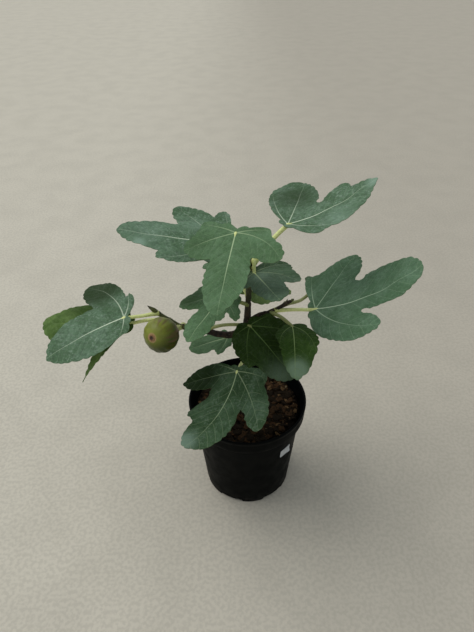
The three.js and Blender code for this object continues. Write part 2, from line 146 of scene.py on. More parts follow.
def on_shell(values):
    """A number for each point of a shell, from one for each point of its grid."""
    return np.concatenate([values.ravel(), values[[0, -1]].mean(1)])


def pointed_out(points, quads, triangles):
    """The same faces, turned round if the volume that they enclose is below zero."""
    flat = np.concatenate([quads[:, [0, 1, 2]], quads[:, [0, 2, 3]], triangles])
    a, b, c = (points[flat[:, corner]] for corner in range(3))
    if np.einsum("ij,ij->", a, np.cross(b, c)) < 0:
        return points, quads[:, ::-1], triangles[:, ::-1]
    return points, quads, triangles


def joined(shells):
    """One set of points and faces from several."""
    start = np.cumsum([0] + [len(points) for points, _, _ in shells])
    return (
        np.concatenate([points for points, _, _ in shells]),
        np.concatenate([quads + first for first, (_, quads, _) in zip(start, shells)]),
        np.concatenate([triangles + first for first, (_, _, triangles) in zip(start, shells)]),
    )


def make_piece(name, shape, material, replaces=(), fields=None, sharp_angle=55):
    """A mesh piece of the one body that does not move; fields are numbers on its points for the material."""
    points, quads, triangles = shape
    mesh = bpy.data.meshes.new(name)
    mesh.from_pydata((points * MM).tolist(), [], quads.tolist() + triangles.tolist())
    for field, values in (fields or {}).items():
        layer = mesh.attributes.new(field, "FLOAT", "POINT")
        layer.data.foreach_set("value", values.astype(np.float32))
    mesh.shade_smooth()
    mesh.set_sharp_from_angle(angle=math.radians(sharp_angle))
    mesh.materials.append(material)
    piece = bpy.data.objects.new(name, mesh)
    bpy.context.scene.collection.objects.link(piece)
    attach(piece, "root")
    if replaces:
        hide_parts(*replaces)


def make_scales(name, made, material):
    """One piece from several small shells, each made with its own values of the field outward."""
    shape = joined([each for each, _ in made])
    outward = np.concatenate([field for _, field in made])
    make_piece(name, shape, material, fields={"outward": outward})


PATH_FINENESS = 40                     # points between two stations, before they are evened out


def smooth_path(stations, step):
    """A centripetal Catmull-Rom curve through the stations, as points about step apart.

    A station may carry more numbers than its place, such as a radius: they go from one station to
    the next by 3t^2 - 2t^3. Returns the places, and the other numbers.
    """
    stations = np.array(stations, float)
    place = stations[:, :3]
    place = np.vstack([2 * place[0] - place[1], place, 2 * place[-1] - place[-2]])
    gaps = np.sqrt(np.linalg.norm(np.diff(place, axis=0), axis=1))[:, None]
    t = np.linspace(0, 1, PATH_FINENESS, endpoint=False)[None, :, None]
    p0, p1, p2, p3 = (place[k : len(place) - 3 + k] for k in range(4))
    d0, d1, d2 = (gaps[k : len(gaps) - 2 + k] for k in range(3))
    start = d1 * ((p1 - p0) / d0 - (p2 - p0) / (d0 + d1) + (p2 - p1) / d1)
    end = d1 * ((p2 - p1) / d1 - (p3 - p1) / (d1 + d2) + (p3 - p2) / d2)
    p1, p2, start, end = (each[:, None, :] for each in (p1, p2, start, end))
    curve = (
        p1 + start * t
        + (3 * (p2 - p1) - 2 * start - end) * t**2
        + (2 * (p1 - p2) + start + end) * t**3
    ).reshape(-1, 3)
    ease = t * t * (3 - 2 * t)
    extra = stations[:, None, 3:]
    extra = (extra[:-1] * (1 - ease) + extra[1:] * ease).reshape(len(curve), -1)
    curve = np.vstack([curve, stations[-1, :3]])
    extra = np.vstack([extra, stations[-1, 3:]])
    lengths = lengths_along(curve)
    goals = np.linspace(0, lengths[-1], max(2, round(lengths[-1] / step)) + 1)
    evened = np.stack([np.interp(goals, lengths, column) for column in np.hstack([curve, extra]).T], 1)
    return evened[:, :3], evened[:, 3:]


def rings_round(path, radii):
    """Rings of points middle + radius (cos t side + sin t front) round a path.

    radii has a row for each ring and a column for each point on it.
    """
    tangent = unit(np.gradient(path, axis=0))
    whole = path[-1] - path[0]
    reference = np.eye(3)[np.argmin(np.abs(whole))]
    side = unit(np.cross(tangent, reference))
    front = np.cross(tangent, side)
    turn = np.linspace(0, 2 * np.pi, radii.shape[1], endpoint=False)[None, :, None]
    spread = np.cos(turn) * side[:, None] + np.sin(turn) * front[:, None]
    return path[:, None] + radii[..., None] * spread


def lathe(profile, columns):
    """The grid of a profile of (radius, height) carried round the Z axis."""
    turn = np.linspace(0, 2 * np.pi, columns, endpoint=False)
    radius, height = np.array(profile, float).T
    return np.stack(
        [radius[:, None] * np.cos(turn), radius[:, None] * np.sin(turn), height[:, None] + 0 * turn], -1
    )


def ripple(generator, u, v, waves, count):
    """A soft seeded unevenness of about -1 to 1: a sum of count sines of u and v.

    It repeats when u or v goes up by 1, and has at most that many waves on the way.
    """
    total = np.zeros(np.broadcast(u, v).shape)
    for _ in range(count):
        across, along = generator.integers(1, waves + 1, 2)
        total += np.sin(2 * np.pi * (across * u + along * v + generator.random()))
    return total / math.sqrt(count)


# ---------------------------------------------------------------- materials


class Finish:
    """One material: a Principled shader, with its even values set on its own sockets."""

    def __init__(self, name, roughness, **even):
        self.material = bpy.data.materials.new(name)
        self.material.use_nodes = True
        self.tree = self.material.node_tree
        self.shader = self.tree.nodes["Principled BSDF"]
        self.shader.inputs["Roughness"].default_value = roughness
        for socket, value in even.items():
            self.shader.inputs[socket.replace("_", " ")].default_value = value

    def add(self, kind, inputs, output=0, **settings):
        """A node whose inputs, by name or number, are values or other nodes' outputs."""
        node = self.tree.nodes.new("ShaderNode" + kind)
        for setting, value in settings.items():
            setattr(node, setting, value)
        for key, value in inputs.items():
            if isinstance(value, bpy.types.NodeSocket):
                self.tree.links.new(value, node.inputs[key])
            else:
                node.inputs[key].default_value = value
        return node.outputs[output]

    def place(self):
        """Where a point is on its piece, in metres."""
        return self.add("TexCoord", {}, "Object")

    def field(self, name):
        """The numbers that the mesh carries under that name."""
        return self.add("Attribute", {}, "Fac", attribute_name=name)

    def sum(self, a, b):
        """a plus b."""
        return self.add("Math", {0: a, 1: b}, operation="ADD")

    def product(self, a, b):
        """a times b."""
        return self.add("Math", {0: a, 1: b}, operation="MULTIPLY")

    def between(self, value, low, high, to_low=0.0, to_high=1.0):
        """value taken smoothly from low..high to to_low..to_high."""
        inputs = {"Value": value, "From Min": low, "From Max": high, "To Min": to_low, "To Max": to_high}
        return self.add("MapRange", inputs, interpolation_type="SMOOTHSTEP")

    def noise(self, size_mm, detail=3.0, stretch=(1, 1, 1)):
        """Noise with features of about size_mm, drawn out along the axes where stretch is above 1."""
        scale = [1 / part for part in stretch]
        vector = self.add("Mapping", {"Vector": self.place(), "Scale": scale})
        return self.add("TexNoise", {"Vector": vector, "Scale": 1000 / size_mm, "Detail": detail})

    def cells(self, size_mm, feature="DISTANCE_TO_EDGE"):
        """How far a point is from its cell's edge, or with F1 from its cell's middle."""
        inputs = {"Vector": self.place(), "Scale": 1000 / size_mm}
        return self.add("TexVoronoi", inputs, "Distance", feature=feature)

    def mix(self, factor, a, b):
        """Colour a where factor is 0, and b where it is 1."""
        opaque = [(*c, 1) if isinstance(c, tuple) else c for c in (a, b)]
        return self.add("Mix", {0: factor, 6: opaque[0], 7: opaque[1]}, 2, data_type="RGBA")

    def use(self, colour=None, roughness=None, height=None, bump_mm=0.3, strength=0.6):
        """Leads the colour, the roughness and a bump of that height to the shader."""
        if colour is not None:
            self.tree.links.new(colour, self.shader.inputs["Base Color"])
        if roughness is not None:
            self.tree.links.new(roughness, self.shader.inputs["Roughness"])
        if height is not None:
            inputs = {"Height": height, "Distance": bump_mm * MM, "Strength": strength}
            self.tree.links.new(self.add("Bump", inputs), self.shader.inputs["Normal"])
        return self.material


def tinted(colour, share, light=0):
    """A colour times share, plus light. share and light are numbers, or colours too."""
    return tuple(np.array(colour) * share + light)


# Colours, in linear light
SHEEN = (0.120, 0.146, 0.140)          # painted sky sheen: the colour that a blade is paled towards where it would mirror the sky
SHADE = (0.26, 0.30, 0.13)             # painted shade: what is left of a blade's colour where its painted shade is darkest
# Blade kinds are lighter and darker copies of one leaf green: deep, bottle and fir paint the shade on blades
# that hang under others, and the greyer, bluer greens of grey, slate and sage hold a painted sky sheen as
# well as the leaves' own colour
BLADE_KINDS = {
    # kind: younger green, older green, main veins, lower face, then how much specks of painted sheen, gloss,
    # side veins
    "sage": (
        (0.078, 0.148, 0.062), (0.102, 0.183, 0.086), (0.38, 0.48, 0.27), (0.15, 0.22, 0.09),
        0.2, 0.1, 0.25,
    ),
    "grey": (
        (0.068, 0.130, 0.060), (0.112, 0.188, 0.108), (0.66, 0.74, 0.54), (0.14, 0.21, 0.09),
        0.7, 0.12, 0.18,
    ),
    "slate": (
        (0.076, 0.148, 0.072), (0.108, 0.190, 0.106), (0.50, 0.62, 0.42), (0.14, 0.21, 0.09),
        0.3, 0.1, 0.25,
    ),
    "deep": (
        (0.036, 0.072, 0.028), (0.066, 0.116, 0.058), (0.34, 0.42, 0.24), (0.09, 0.14, 0.05),
        0.4, 0.05, 0.5,
    ),
    "bottle": (
        (0.019, 0.040, 0.006), (0.034, 0.064, 0.015), (0.13, 0.20, 0.06), (0.07, 0.11, 0.03),
        0.15, 0.05, 0.5,
    ),
    "fir": (
        (0.028, 0.060, 0.009), (0.044, 0.086, 0.016), (0.24, 0.32, 0.12), (0.07, 0.11, 0.03),
        0.15, 0.05, 0.4,
    ),
    "fresh": (
        (0.110, 0.170, 0.050), (0.150, 0.225, 0.075), (0.18, 0.26, 0.10), (0.12, 0.18, 0.05),
        0.2, 0.05, 0.3,
    ),
    "lime": (
        (0.060, 0.112, 0.022), (0.125, 0.200, 0.052), (0.26, 0.36, 0.12), (0.13, 0.17, 0.05),
        0.2, 0.05, 0.3,
    ),
}
STALK_KINDS = {
    # kind: the stalk's colour, and that of its streaks and of the painted shade at its end by the limb
    "pale": ((0.78, 0.82, 0.33), (0.42, 0.46, 0.11)),
    "olive": ((0.30, 0.32, 0.11), (0.10, 0.12, 0.02)),
}
FISSURE_BROWN = (0.010, 0.005, 0.002)
BARK_BROWN = (0.046, 0.026, 0.013)
BARK_GREY = (0.085, 0.072, 0.052)
TWIG_GREENS = ((0.034, 0.042, 0.007), (0.092, 0.102, 0.024))
PORE_TAN = (0.11, 0.09, 0.05)
BUD_GREENS = ((0.042, 0.050, 0.007), (0.120, 0.128, 0.028))
BUD_TIP = (0.022, 0.013, 0.006)
# Painted light and shade on the fig: its green on the side away from the light, and on the side that faces it
FIG_SHADED_GREEN = (0.028, 0.042, 0.001)
FIG_LIT_GREEN = (0.225, 0.248, 0.034)
FIG_PATCH = (0.085, 0.092, 0.004)
FIG_STREAK = (0.125, 0.062, 0.030)
FIG_SPECK = (0.24, 0.27, 0.08)
FIG_NECK = (0.48, 0.50, 0.20)
FIG_HALO = (0.42, 0.25, 0.12)          # the ring round the eye
EYE_RIM = (0.33, 0.17, 0.07)
EYE_INSIDE = (0.010, 0.002, 0.001)
EYE_FLECK = (0.24, 0.14, 0.06)
POT_BLACK = (0.0018, 0.0023, 0.0021)
POT_RUBBED = (0.006, 0.0065, 0.0065)
POT_DUST = (0.07, 0.065, 0.055)
LABEL_WHITES = ((0.42, 0.43, 0.43), (0.54, 0.55, 0.55))
MIX_BROWN = (0.009, 0.006, 0.003)

# Sizes of patterns
BLADE_PATCH = 18
SHEEN_CLOUD = 9                        # the painted sheen specks come and go over this size
BLADE_MOTTLE = 3.4
SHEEN_SPECK = 1.9
BLADE_NET = 1.9
BARK_FISSURE = 3
FIG_MOTTLE = 7
FIG_DOT = 2.4
FIG_NECK_FROM = (38, 44)               # distance from the eye over which the skin turns pale
FIG_HALO_TO = (3.2, 5.4)               # and over which the ring round the eye ends
POT_RUB = 24
DUST_HEIGHT = 18                       # dust clings to the pot up to here


def blade_finish(name, young, old, rib, under, bloom, gloss, veined):
    """A leaf blade: two greens in soft patches and fine pale specks of painted sheen, with main veins, side
    veins and a net.

    The field rib counts half-widths off a main vein and vein counts side veins from the stalk, and
    rib_holds and vein_holds say where these show. outward goes from 0 at the stalk to 1 at the edge.
    tone is above a half where a painted sky sheen makes the blade paler, and below it where painted
    shade makes the blade darker and its veins fainter. under is 1 on the lower face. bloom is the
    strength of the specks, which are a painted sheen, and veined that of the side veins.
    """
    finish = Finish(name, 0.5, Specular_IOR_Level=gloss)
    patches = finish.between(finish.noise(BLADE_PATCH, 3), 0.38, 0.64)
    green = finish.mix(patches, young, old)
    # Painted sheen: fine pale specks, gathered in clouds, where the blade would mirror the sky
    specks = finish.between(finish.noise(SHEEN_SPECK, 5), 0.48, 0.66, 0, bloom)
    sheen_clouds = finish.between(finish.noise(SHEEN_CLOUD, 3), 0.40, 0.62, 0.3, 1.0)
    green = finish.mix(finish.product(specks, sheen_clouds), green, tinted(old, 1, 0.12))
    mottles = finish.between(finish.noise(BLADE_MOTTLE, 5), 0.36, 0.56, 0.2 + 0.3 * bloom, 0.0)
    green = finish.mix(mottles, green, tinted(young, 0.4))
    net = finish.between(finish.cells(BLADE_NET), 0.0, 0.16, 0.25, 0.0)
    green = finish.mix(net, green, tinted(young, 1.5, 0.01))
    # Painted shade where tone is below a half, and a painted sky sheen where it is above
    dark = finish.between(finish.field("painted_light"), 0.0, 0.5, 0.95, 0.0)
    green = finish.mix(dark, green, tinted(young, SHADE))
    pale = finish.between(finish.field("painted_light"), 0.5, 1.0, 0.0, 0.75)
    green = finish.mix(pale, green, tinted(old, 1.1, SHEEN))
    ripples = finish.add("Math", {0: finish.field("vein"), 1: 0.5}, operation="PINGPONG")
    side = finish.product(finish.between(ripples, 0.01, 0.05, 1.0, 0.0), finish.field("vein_holds"))
    lit = finish.between(finish.field("painted_light"), 0.0, 0.5, 0.35, 1.0)
    side = finish.product(finish.product(side, lit), veined)
    green = finish.mix(side, green, tinted(np.add(young, rib), 0.5))
    off = finish.add("Math", {0: finish.field("rib")}, operation="ABSOLUTE")
    main = finish.product(finish.between(off, 0.7, 1.4, 1.0, 0.0), finish.field("rib_holds"))
    fade = finish.between(finish.field("outward"), 0.2, 0.95, 1.0, 0.3)
    fade = finish.product(fade, finish.between(lit, 0.35, 1.0, 0.6, 1.0))
    green = finish.mix(finish.product(main, fade), green, rib)
    back = finish.mix(finish.product(main, 0.8), under, tinted(rib, 1.25))
    colour = finish.mix(finish.field("under"), green, back)
    rough = finish.between(finish.noise(7, 4), 0.3, 0.7, 0.42, 0.62)
    relief = finish.sum(finish.between(finish.cells(BLADE_NET), 0.0, 0.3), finish.noise(0.9, 2))
    return finish.use(colour, rough, relief, 0.22, 0.6)


def stalk_finish(name, colour, shade):
    """A leaf stalk: pale and smooth, with faint long streaks, and painted shade that darkens it towards the
    limb.
    """
    finish = Finish(name, 0.45, Specular_IOR_Level=0.45)
    streaks = finish.between(finish.noise(2.2, 3), 0.35, 0.7)
    # Painted shade on the stalk where it meets its limb
    painted_limb_shade = finish.between(finish.field("outward"), 0.0, 0.2, 0.6, 0.0)
    body = finish.mix(finish.product(streaks, 0.35), colour, shade)
    return finish.use(finish.mix(painted_limb_shade, body, shade), None, finish.noise(0.7, 2), 0.08, 0.4)


def bark_finish():
    """Bark: brown and fissured on old wood, smooth and green where the field young is 1, with pores."""
    finish = Finish("bark", 0.75)
    fissured = finish.between(finish.noise(BARK_FISSURE, 5, (1, 1, 3)), 0.35, 0.7)
    old = finish.mix(fissured, FISSURE_BROWN, BARK_BROWN)
    old = finish.mix(finish.between(finish.noise(8, 4), 0.55, 0.75, 0, 0.25), old, BARK_GREY)
    green = finish.mix(finish.between(finish.noise(4, 3), 0.35, 0.7), *TWIG_GREENS)
    colour = finish.mix(finish.field("young"), old, green)
    pores = finish.between(finish.field("pores"), 0.35, 0.8, 0, 0.7)
    colour = finish.mix(pores, colour, PORE_TAN)
    rough = finish.between(finish.field("young"), 0.0, 1.0, 0.85, 0.5)
    relief = finish.sum(finish.noise(1.2, 5, (1, 1, 3)), finish.noise(0.5, 2))
    return finish.use(colour, rough, relief, 0.3, 0.7)


def bud_finish():
    """Bud scales: olive green with brown tips."""
    finish = Finish("bud scales", 0.5)
    tips = finish.between(finish.field("outward"), 0.55, 1.0)
    green = finish.mix(finish.noise(1.5, 3), *BUD_GREENS)
    return finish.use(finish.mix(tips, green, BUD_TIP), None, finish.noise(0.6, 2), 0.1, 0.5)


def fig_finish():
    """Fig skin: olive with painted light and shade, lighter and yellower where the field sunny is high, with
    brown streaks where blush is.

    It has fine pale specks, a pale neck and a red-brown ring round the eye.
    """
    finish = Finish("fig skin", 0.42, Specular_IOR_Level=0.3)
    base = finish.mix(finish.field("painted_lit_side"), FIG_SHADED_GREEN, FIG_LIT_GREEN)
    base = finish.mix(finish.between(finish.noise(FIG_MOTTLE, 4), 0.38, 0.66, 0, 0.4), base, FIG_PATCH)
    streaks = finish.between(finish.field("streaks"), 0.36, 0.74, 0.0, 0.75)
    colour = finish.mix(finish.product(streaks, finish.field("blush")), base, FIG_STREAK)
    specks = finish.between(finish.cells(FIG_DOT, "F1"), 0.0, 0.2, 0.5, 0.0)
    colour = finish.mix(specks, colour, FIG_SPECK)
    colour = finish.mix(finish.between(finish.field("from_eye"), *FIG_NECK_FROM), colour, FIG_NECK)
    halo = finish.between(finish.field("from_eye"), *FIG_HALO_TO, 0.85, 0.0)
    colour = finish.mix(halo, colour, FIG_HALO)
    return finish.use(colour, None, finish.sum(finish.noise(1.4, 3), specks), 0.12, 0.5)


def eye_finish():
    """The scales round the fig's eye: red-brown, darker inside."""
    finish = Finish("fig eye", 0.6)
    inner = finish.between(finish.field("outward"), 0.3, 0.9)
    colour = finish.mix(inner, EYE_RIM, EYE_INSIDE)
    return finish.use(finish.mix(finish.product(finish.noise(0.8, 2), 0.15), colour, EYE_FLECK))


def pot_finish():
    """Black moulded plastic: fine grain, a dusty bloom near the floor and rubbed patches."""
    finish = Finish("pot plastic", 0.5, Specular_IOR_Level=0.035)
    rubbed = finish.between(finish.noise(POT_RUB, 5), 0.5, 0.78, 0, 0.5)
    colour = finish.mix(rubbed, POT_BLACK, POT_RUBBED)
    height = finish.add("SeparateXYZ", {0: finish.place()}, "Z")
    dust = finish.between(height, 0.0, DUST_HEIGHT * MM, 0.4, 0.0)
    dust = finish.product(dust, finish.between(finish.noise(5, 5), 0.42, 0.7))
    colour = finish.mix(dust, colour, POT_DUST)
    rough = finish.between(finish.noise(12, 5), 0.3, 0.75, 0.42, 0.62)
    return finish.use(colour, rough, finish.noise(0.6, 2), 0.05, 0.35)


def label_finish():
    """Blank white film with a faint fibre."""
    finish = Finish("label film", 0.5)
    colour = finish.mix(finish.noise(3, 4), *LABEL_WHITES)
    return finish.use(colour, None, finish.noise(0.8, 2), 0.03, 0.3)


def chip_finish(name, colour):
    """One kind of bark chip: its plain colour with a fine woody grain."""
    finish = Finish(name, 0.9, Specular_IOR_Level=0.1)
    grain = finish.between(finish.noise(1.4, 4, (1, 1, 2)), 0.3, 0.75)
    return finish.use(finish.mix(grain, tinted(colour, 0.45), colour), None, finish.noise(0.8, 3), 0.3, 0.6)


# ---------------------------------------------------------------- pot, label and mix

pot_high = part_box("pot")[1]
RIM_RADIUS = pot_high.x / MM
RIM_HEIGHT = pot_high.z / MM
BASE_RADIUS = 50
WALL = 1.8
COLLAR_HEIGHT = 17
COLLAR_STEP = 4.5
FOOT_HEIGHT = 5
FOOT_COUNT = 6
FOOT_SHARE = 0.48                      # share of the bottom ring that the feet take up
FOOT_TURN = -84                        # bearing of one foot's middle
FOOT_RING_WIDTH = 8
FOOT_SLOPE = 0.6                       # degrees over which a foot's end rises, each way
HUB_RADIUS = 14                        # the floor dips to the ground at its middle
POT_COLUMNS = 360
POLE_RADIUS = 3                        # of a lathe's end rings, which close on their middles
SOIL_LEVEL = RIM_HEIGHT - 14
COLLAR_FOOT = RIM_HEIGHT - COLLAR_HEIGHT


def body_radius(height):
    """Outer radius of the tapered body at a height."""
    top = RIM_RADIUS - 1 - COLLAR_STEP
    return BASE_RADIUS + (top - BASE_RADIUS) * height / COLLAR_FOOT


def make_pot():
    """A lathe from the hub under the floor, up the wall, over the lip and down inside to the floor.

    Between the feet, what is lower than the recess under the floor is lifted nearly to it.
    """
    collar, inner_collar = RIM_RADIUS - 1, RIM_RADIUS - WALL - 1
    recess, floor = FOOT_HEIGHT - 1, FOOT_HEIGHT + 1
    ring = BASE_RADIUS - FOOT_RING_WIDTH
    neck = body_radius(COLLAR_FOOT)
    wall_heights = np.linspace(8, COLLAR_FOOT - 2, 24)
    inner_heights = np.linspace(COLLAR_FOOT - 3, FOOT_HEIGHT + 3, 12)
    hub = [
        (POLE_RADIUS, 0), (HUB_RADIUS - 0.4, 0), (HUB_RADIUS, 0.3),
        (HUB_RADIUS + 2, recess - 0.3), (HUB_RADIUS + 2.5, recess), (30, recess),
    ]
    foot = [
        (ring - 0.4, recess), (ring, recess - 0.4), (ring + 0.9, 0.5), (ring + 1.4, 0),
        (BASE_RADIUS - 0.6, 0), (BASE_RADIUS, 0.6),
    ]
    outside = [2.5, recess, FOOT_HEIGHT, *wall_heights, COLLAR_FOOT - 0.5]
    rim = [
        (neck + 0.5, COLLAR_FOOT), (collar - 0.9, COLLAR_FOOT), (collar - 0.3, COLLAR_FOOT + 0.2),
        (collar, COLLAR_FOOT + 0.8), (collar + 0.3, COLLAR_FOOT + 5), (collar + 0.5, RIM_HEIGHT - 6),
        (collar + 0.6, RIM_HEIGHT - 3.4), (RIM_RADIUS - 0.1, RIM_HEIGHT - 2.8),
        (RIM_RADIUS, RIM_HEIGHT - 1.4), (RIM_RADIUS - 0.3, RIM_HEIGHT - 0.5),
        (RIM_RADIUS - 1.0, RIM_HEIGHT), (RIM_RADIUS - 1.7, RIM_HEIGHT - 0.2),
        (inner_collar + 0.4, RIM_HEIGHT - 1.0), (inner_collar, RIM_HEIGHT - 3),
        (inner_collar - 0.5, COLLAR_FOOT + 6), (neck - WALL + 1.5, COLLAR_FOOT + 1),
    ]
    profile = [
        *hub,
        *foot,
        *((body_radius(height), height) for height in outside),
        *rim,
        (neck - WALL, COLLAR_FOOT - 1.5),
        *((body_radius(height) - WALL, height) for height in inner_heights),
        (body_radius(FOOT_HEIGHT) - WALL - 1.5, floor), (20, floor), (POLE_RADIUS, floor),
    ]
    grid = lathe(profile, POT_COLUMNS)
    bearing = np.degrees(np.arctan2(grid[..., 1], grid[..., 0]))
    pitch = 360 / FOOT_COUNT
    from_foot = np.abs((bearing - FOOT_TURN + pitch / 2) % pitch - pitch / 2)
    half_foot = pitch * FOOT_SHARE / 2
    gap = smooth(from_foot, half_foot - FOOT_SLOPE, half_foot + FOOT_SLOPE)
    low = (np.hypot(grid[..., 0], grid[..., 1]) > ring - 1) & (grid[..., 2] < recess)
    grid[..., 2] += np.where(low, 0.98 * gap * (recess - grid[..., 2]), 0)
    make_piece("nursery_pot", pointed_out(*shell(grid)), pot_finish(), ["pot"], sharp_angle=60)


LABEL_WIDTH = 15
LABEL_HEIGHT = 12
LABEL_THICKNESS = 0.3
LABEL_BEARING = -45
LABEL_MIDDLE = 83
LABEL_GAP = 0.15                       # between the film and the wall
LABEL_LIFT = 1.2                       # how far its loose lower corner stands off the wall
LABEL_POWER = 9                        # how square its corners are
LABEL_ROWS = 12
LABEL_COLUMNS = 96


def make_label():
    """A thin film on the wall whose outline is |u|^9 + |v|^9 = 1, with one corner curling off."""
    turn = np.linspace(0, 2 * np.pi, LABEL_COLUMNS, endpoint=False)
    share = np.linspace(0.06, 1, LABEL_ROWS)[:, None]
    reach = rounded_square(turn, LABEL_POWER)
    u, v = share * reach * np.cos(turn), share * reach * np.sin(turn)
    height = LABEL_MIDDLE + v * LABEL_HEIGHT / 2
    bearing = np.radians(LABEL_BEARING) + u * LABEL_WIDTH / 2 / body_radius(height)
    lift = LABEL_GAP + LABEL_LIFT * smooth(u - v, 1.1, 2.0)

    def face(thickness):
        """One side of the film, that far off the side that lies on the wall."""
        radius = body_radius(height) + lift + thickness
        return np.stack([radius * np.cos(bearing), radius * np.sin(bearing), height], -1)

    grid = np.concatenate([face(LABEL_THICKNESS), face(0)[::-1]])
    make_piece("blank_label", pointed_out(*shell(grid)), label_finish(), ["label"])


CHIP_COLUMNS = 8
CHIP_RINGS = [(-0.8, 0.72), (-0.3, 1.0), (0.3, 1.0), (0.8, 0.72)]   # height in half thicknesses, and width
CHIP_SLIMNESS = (0.35, 0.8)            # least and greatest width, as a share of the length
CHIP_FLATNESS = (0.15, 0.35)           # and thickness
CHIP_THICKNESS = (0.8, 3)              # the thickness stays between these
CHIP_TILT = 14
CHIP_HEIGHTS = (-0.6, 2.0)             # least and greatest height over the mix's level
MIX_REACH = 57.5                       # chips stay inside this radius
TRUNK_ROOM = 6                         # and outside this one
MIX_COLUMNS = 120
MIX_GAP = 0.6                          # between the mix and the pot's wall
MIX_UNEVEN = 0.8                       # its top goes up and down by this
MIX_TILE = 60                          # the unevenness repeats after this length
CHIP_KINDS = [
    # name, count, colour, least and greatest length
    ("umber", 540, (0.017, 0.0105, 0.0045), 5, 13),
    ("russet", 290, (0.058, 0.0290, 0.0115), 5, 13),
    ("tan", 100, (0.150, 0.0880, 0.0380), 4, 9),
    ("grit", 40, (0.230, 0.1850, 0.1100), 2, 4),
]


def chips(generator, count, shortest, longest):
    """Flat angular flakes: each is a rounded block whose corners are pushed in or out at random.

    A flake has a ring of corners at each height of CHIP_RINGS. It lies at a random place on the mix,
    and CHIP_TILT degrees or so off level.
    """
    turn = np.linspace(0, 2 * np.pi, CHIP_COLUMNS, endpoint=False)
    ring_height, ring_width = np.array(CHIP_RINGS).T
    length = generator.uniform(shortest, longest, count)
    width = length * generator.uniform(*CHIP_SLIMNESS, count)
    thickness = np.clip(length * generator.uniform(*CHIP_FLATNESS, count), *CHIP_THICKNESS)
    jitter = generator.uniform(0.7, 1.15, (count, 1, CHIP_COLUMNS)) * ring_width[:, None]
    height = ring_height[:, None] + generator.uniform(-0.25, 0.25, (count, len(CHIP_RINGS), CHIP_COLUMNS))
    block = rounded_square(turn, 4)
    grid = np.stack(
        [
            jitter * block * np.cos(turn) * length[:, None, None] / 2,
            jitter * block * np.sin(turn) * width[:, None, None] / 2,
            height * thickness[:, None, None] / 2,
        ],
        -1,
    )
    yaw = generator.uniform(0, 2 * np.pi, count)
    tilt = np.radians(generator.normal(0, CHIP_TILT, (2, count)))
    x_axis = unit(np.stack([np.cos(yaw), np.sin(yaw), np.sin(tilt[0])], -1))
    y_axis = unit(np.cross(np.stack([-np.sin(tilt[1]), 0 * yaw, 1 + 0 * yaw], -1), x_axis))
    z_axis = np.cross(x_axis, y_axis)
    turned = np.einsum("nrcj,njk->nrck", grid, np.stack([x_axis, y_axis, z_axis], 1))
    bearing = generator.uniform(0, 2 * np.pi, count)
    reach = np.sqrt(generator.uniform(0, 1, count)) * (MIX_REACH - length / 2)
    reach = np.maximum(reach, TRUNK_ROOM + length / 2)
    level = SOIL_LEVEL + generator.uniform(*CHIP_HEIGHTS, count)
    middle = np.stack([reach * np.cos(bearing), reach * np.sin(bearing), level], -1)
    placed = turned + middle[:, None, None]
    return joined([pointed_out(*shell(flake)) for flake in placed])


def make_mix(generator):
    """The mix's body fills the pot and its top is uneven, with chips of four kinds spread over it."""
    floor = FOOT_HEIGHT + 1.3
    edge = body_radius(COLLAR_FOOT) - WALL - 0.5
    radii = np.linspace(edge - 1, POLE_RADIUS, 20)
    profile = [
        (POLE_RADIUS, floor), (25, floor), (body_radius(FOOT_HEIGHT) - WALL - MIX_GAP, floor),
        (body_radius(60) - WALL - MIX_GAP, 60), (edge, COLLAR_FOOT - 3), (edge + 0.6, SOIL_LEVEL - 2),
        *((radius, SOIL_LEVEL - 0.5) for radius in radii),
    ]
    grid = lathe(profile, MIX_COLUMNS)
    top = np.arange(len(profile))[:, None] >= len(profile) - len(radii)
    uneven = ripple(generator, grid[..., 0] / MIX_TILE, grid[..., 1] / MIX_TILE, 6, 14)
    grid[..., 2] += np.where(top, MIX_UNEVEN * uneven, 0)
    body = pointed_out(*shell(grid))
    make_piece("mix_body", body, chip_finish("mix", MIX_BROWN), ["potting_mix"])
    for kind, count, colour, shortest, longest in CHIP_KINDS:
        flakes = chips(generator, count, shortest, longest)
        make_piece(f"chips_{kind}", flakes, chip_finish(f"{kind} bark", colour), sharp_angle=25)


# ---------------------------------------------------------------- limbs
# Each limb is a row of stations [x, y, z, radius, how young the bark is].

LIMBS = {
    "trunk": [
        [0, 0, SOIL_LEVEL + 0.3, 6.6, 0],
        [0.2, -0.2, SOIL_LEVEL + 8, 4.9, 0],
        [0.8, -0.6, 150, 4.2, 0],
        [-0.4, -0.2, 190, 4.0, 0],
        [-0.4, 0, 224, 4.7, 0],
        [0.2, 0, 240, 3.3, 0],
        [0.9, 0, 256, 2.6, 0.1],
        [1.6, 0, 274, 2.5, 0.6],
        [3.2, 0, 292, 2.4, 1],
        [4.2, 0, 302, 1.9, 1],
        [4.2, 0, 307, 0.5, 1],
    ],
    "left_bough": [
        [0, 0, 226, 3.4, 0],
        [-15, -4, 220.5, 3.4, 0],
        [-25, -5, 221.5, 3.3, 0],
        [-36, -6, 225.5, 2.9, 0],
        [-50, -7, 230, 2.5, 0.1],
        [-62.5, -8, 234, 2.3, 0.7],
        [-71, -8.5, 240.5, 2.1, 1],
        [-80, -9, 248.2, 2.1, 1],
        [-86.5, -9.6, 255, 1.9, 1],
        [-90, -10, 259.5, 0.6, 0.5],
    ],
    "right_bough": [
        [0, 0, 231, 3.2, 0],
        [10, 1, 238.5, 3.0, 0],
        [22, 2, 242.5, 2.3, 0],
        [30, 3, 246.8, 2.0, 0],
        [37, 4, 251.3, 1.8, 0.1],
        [41, 4.6, 253.4, 1.7, 0],
        [44, 5, 254.6, 0.6, 0],
    ],
}
LIMB_STEP = 0.7
LIMB_COLUMNS = 40
LIMB_TILE = 60                         # the bark's ripples repeat after a third to three times this
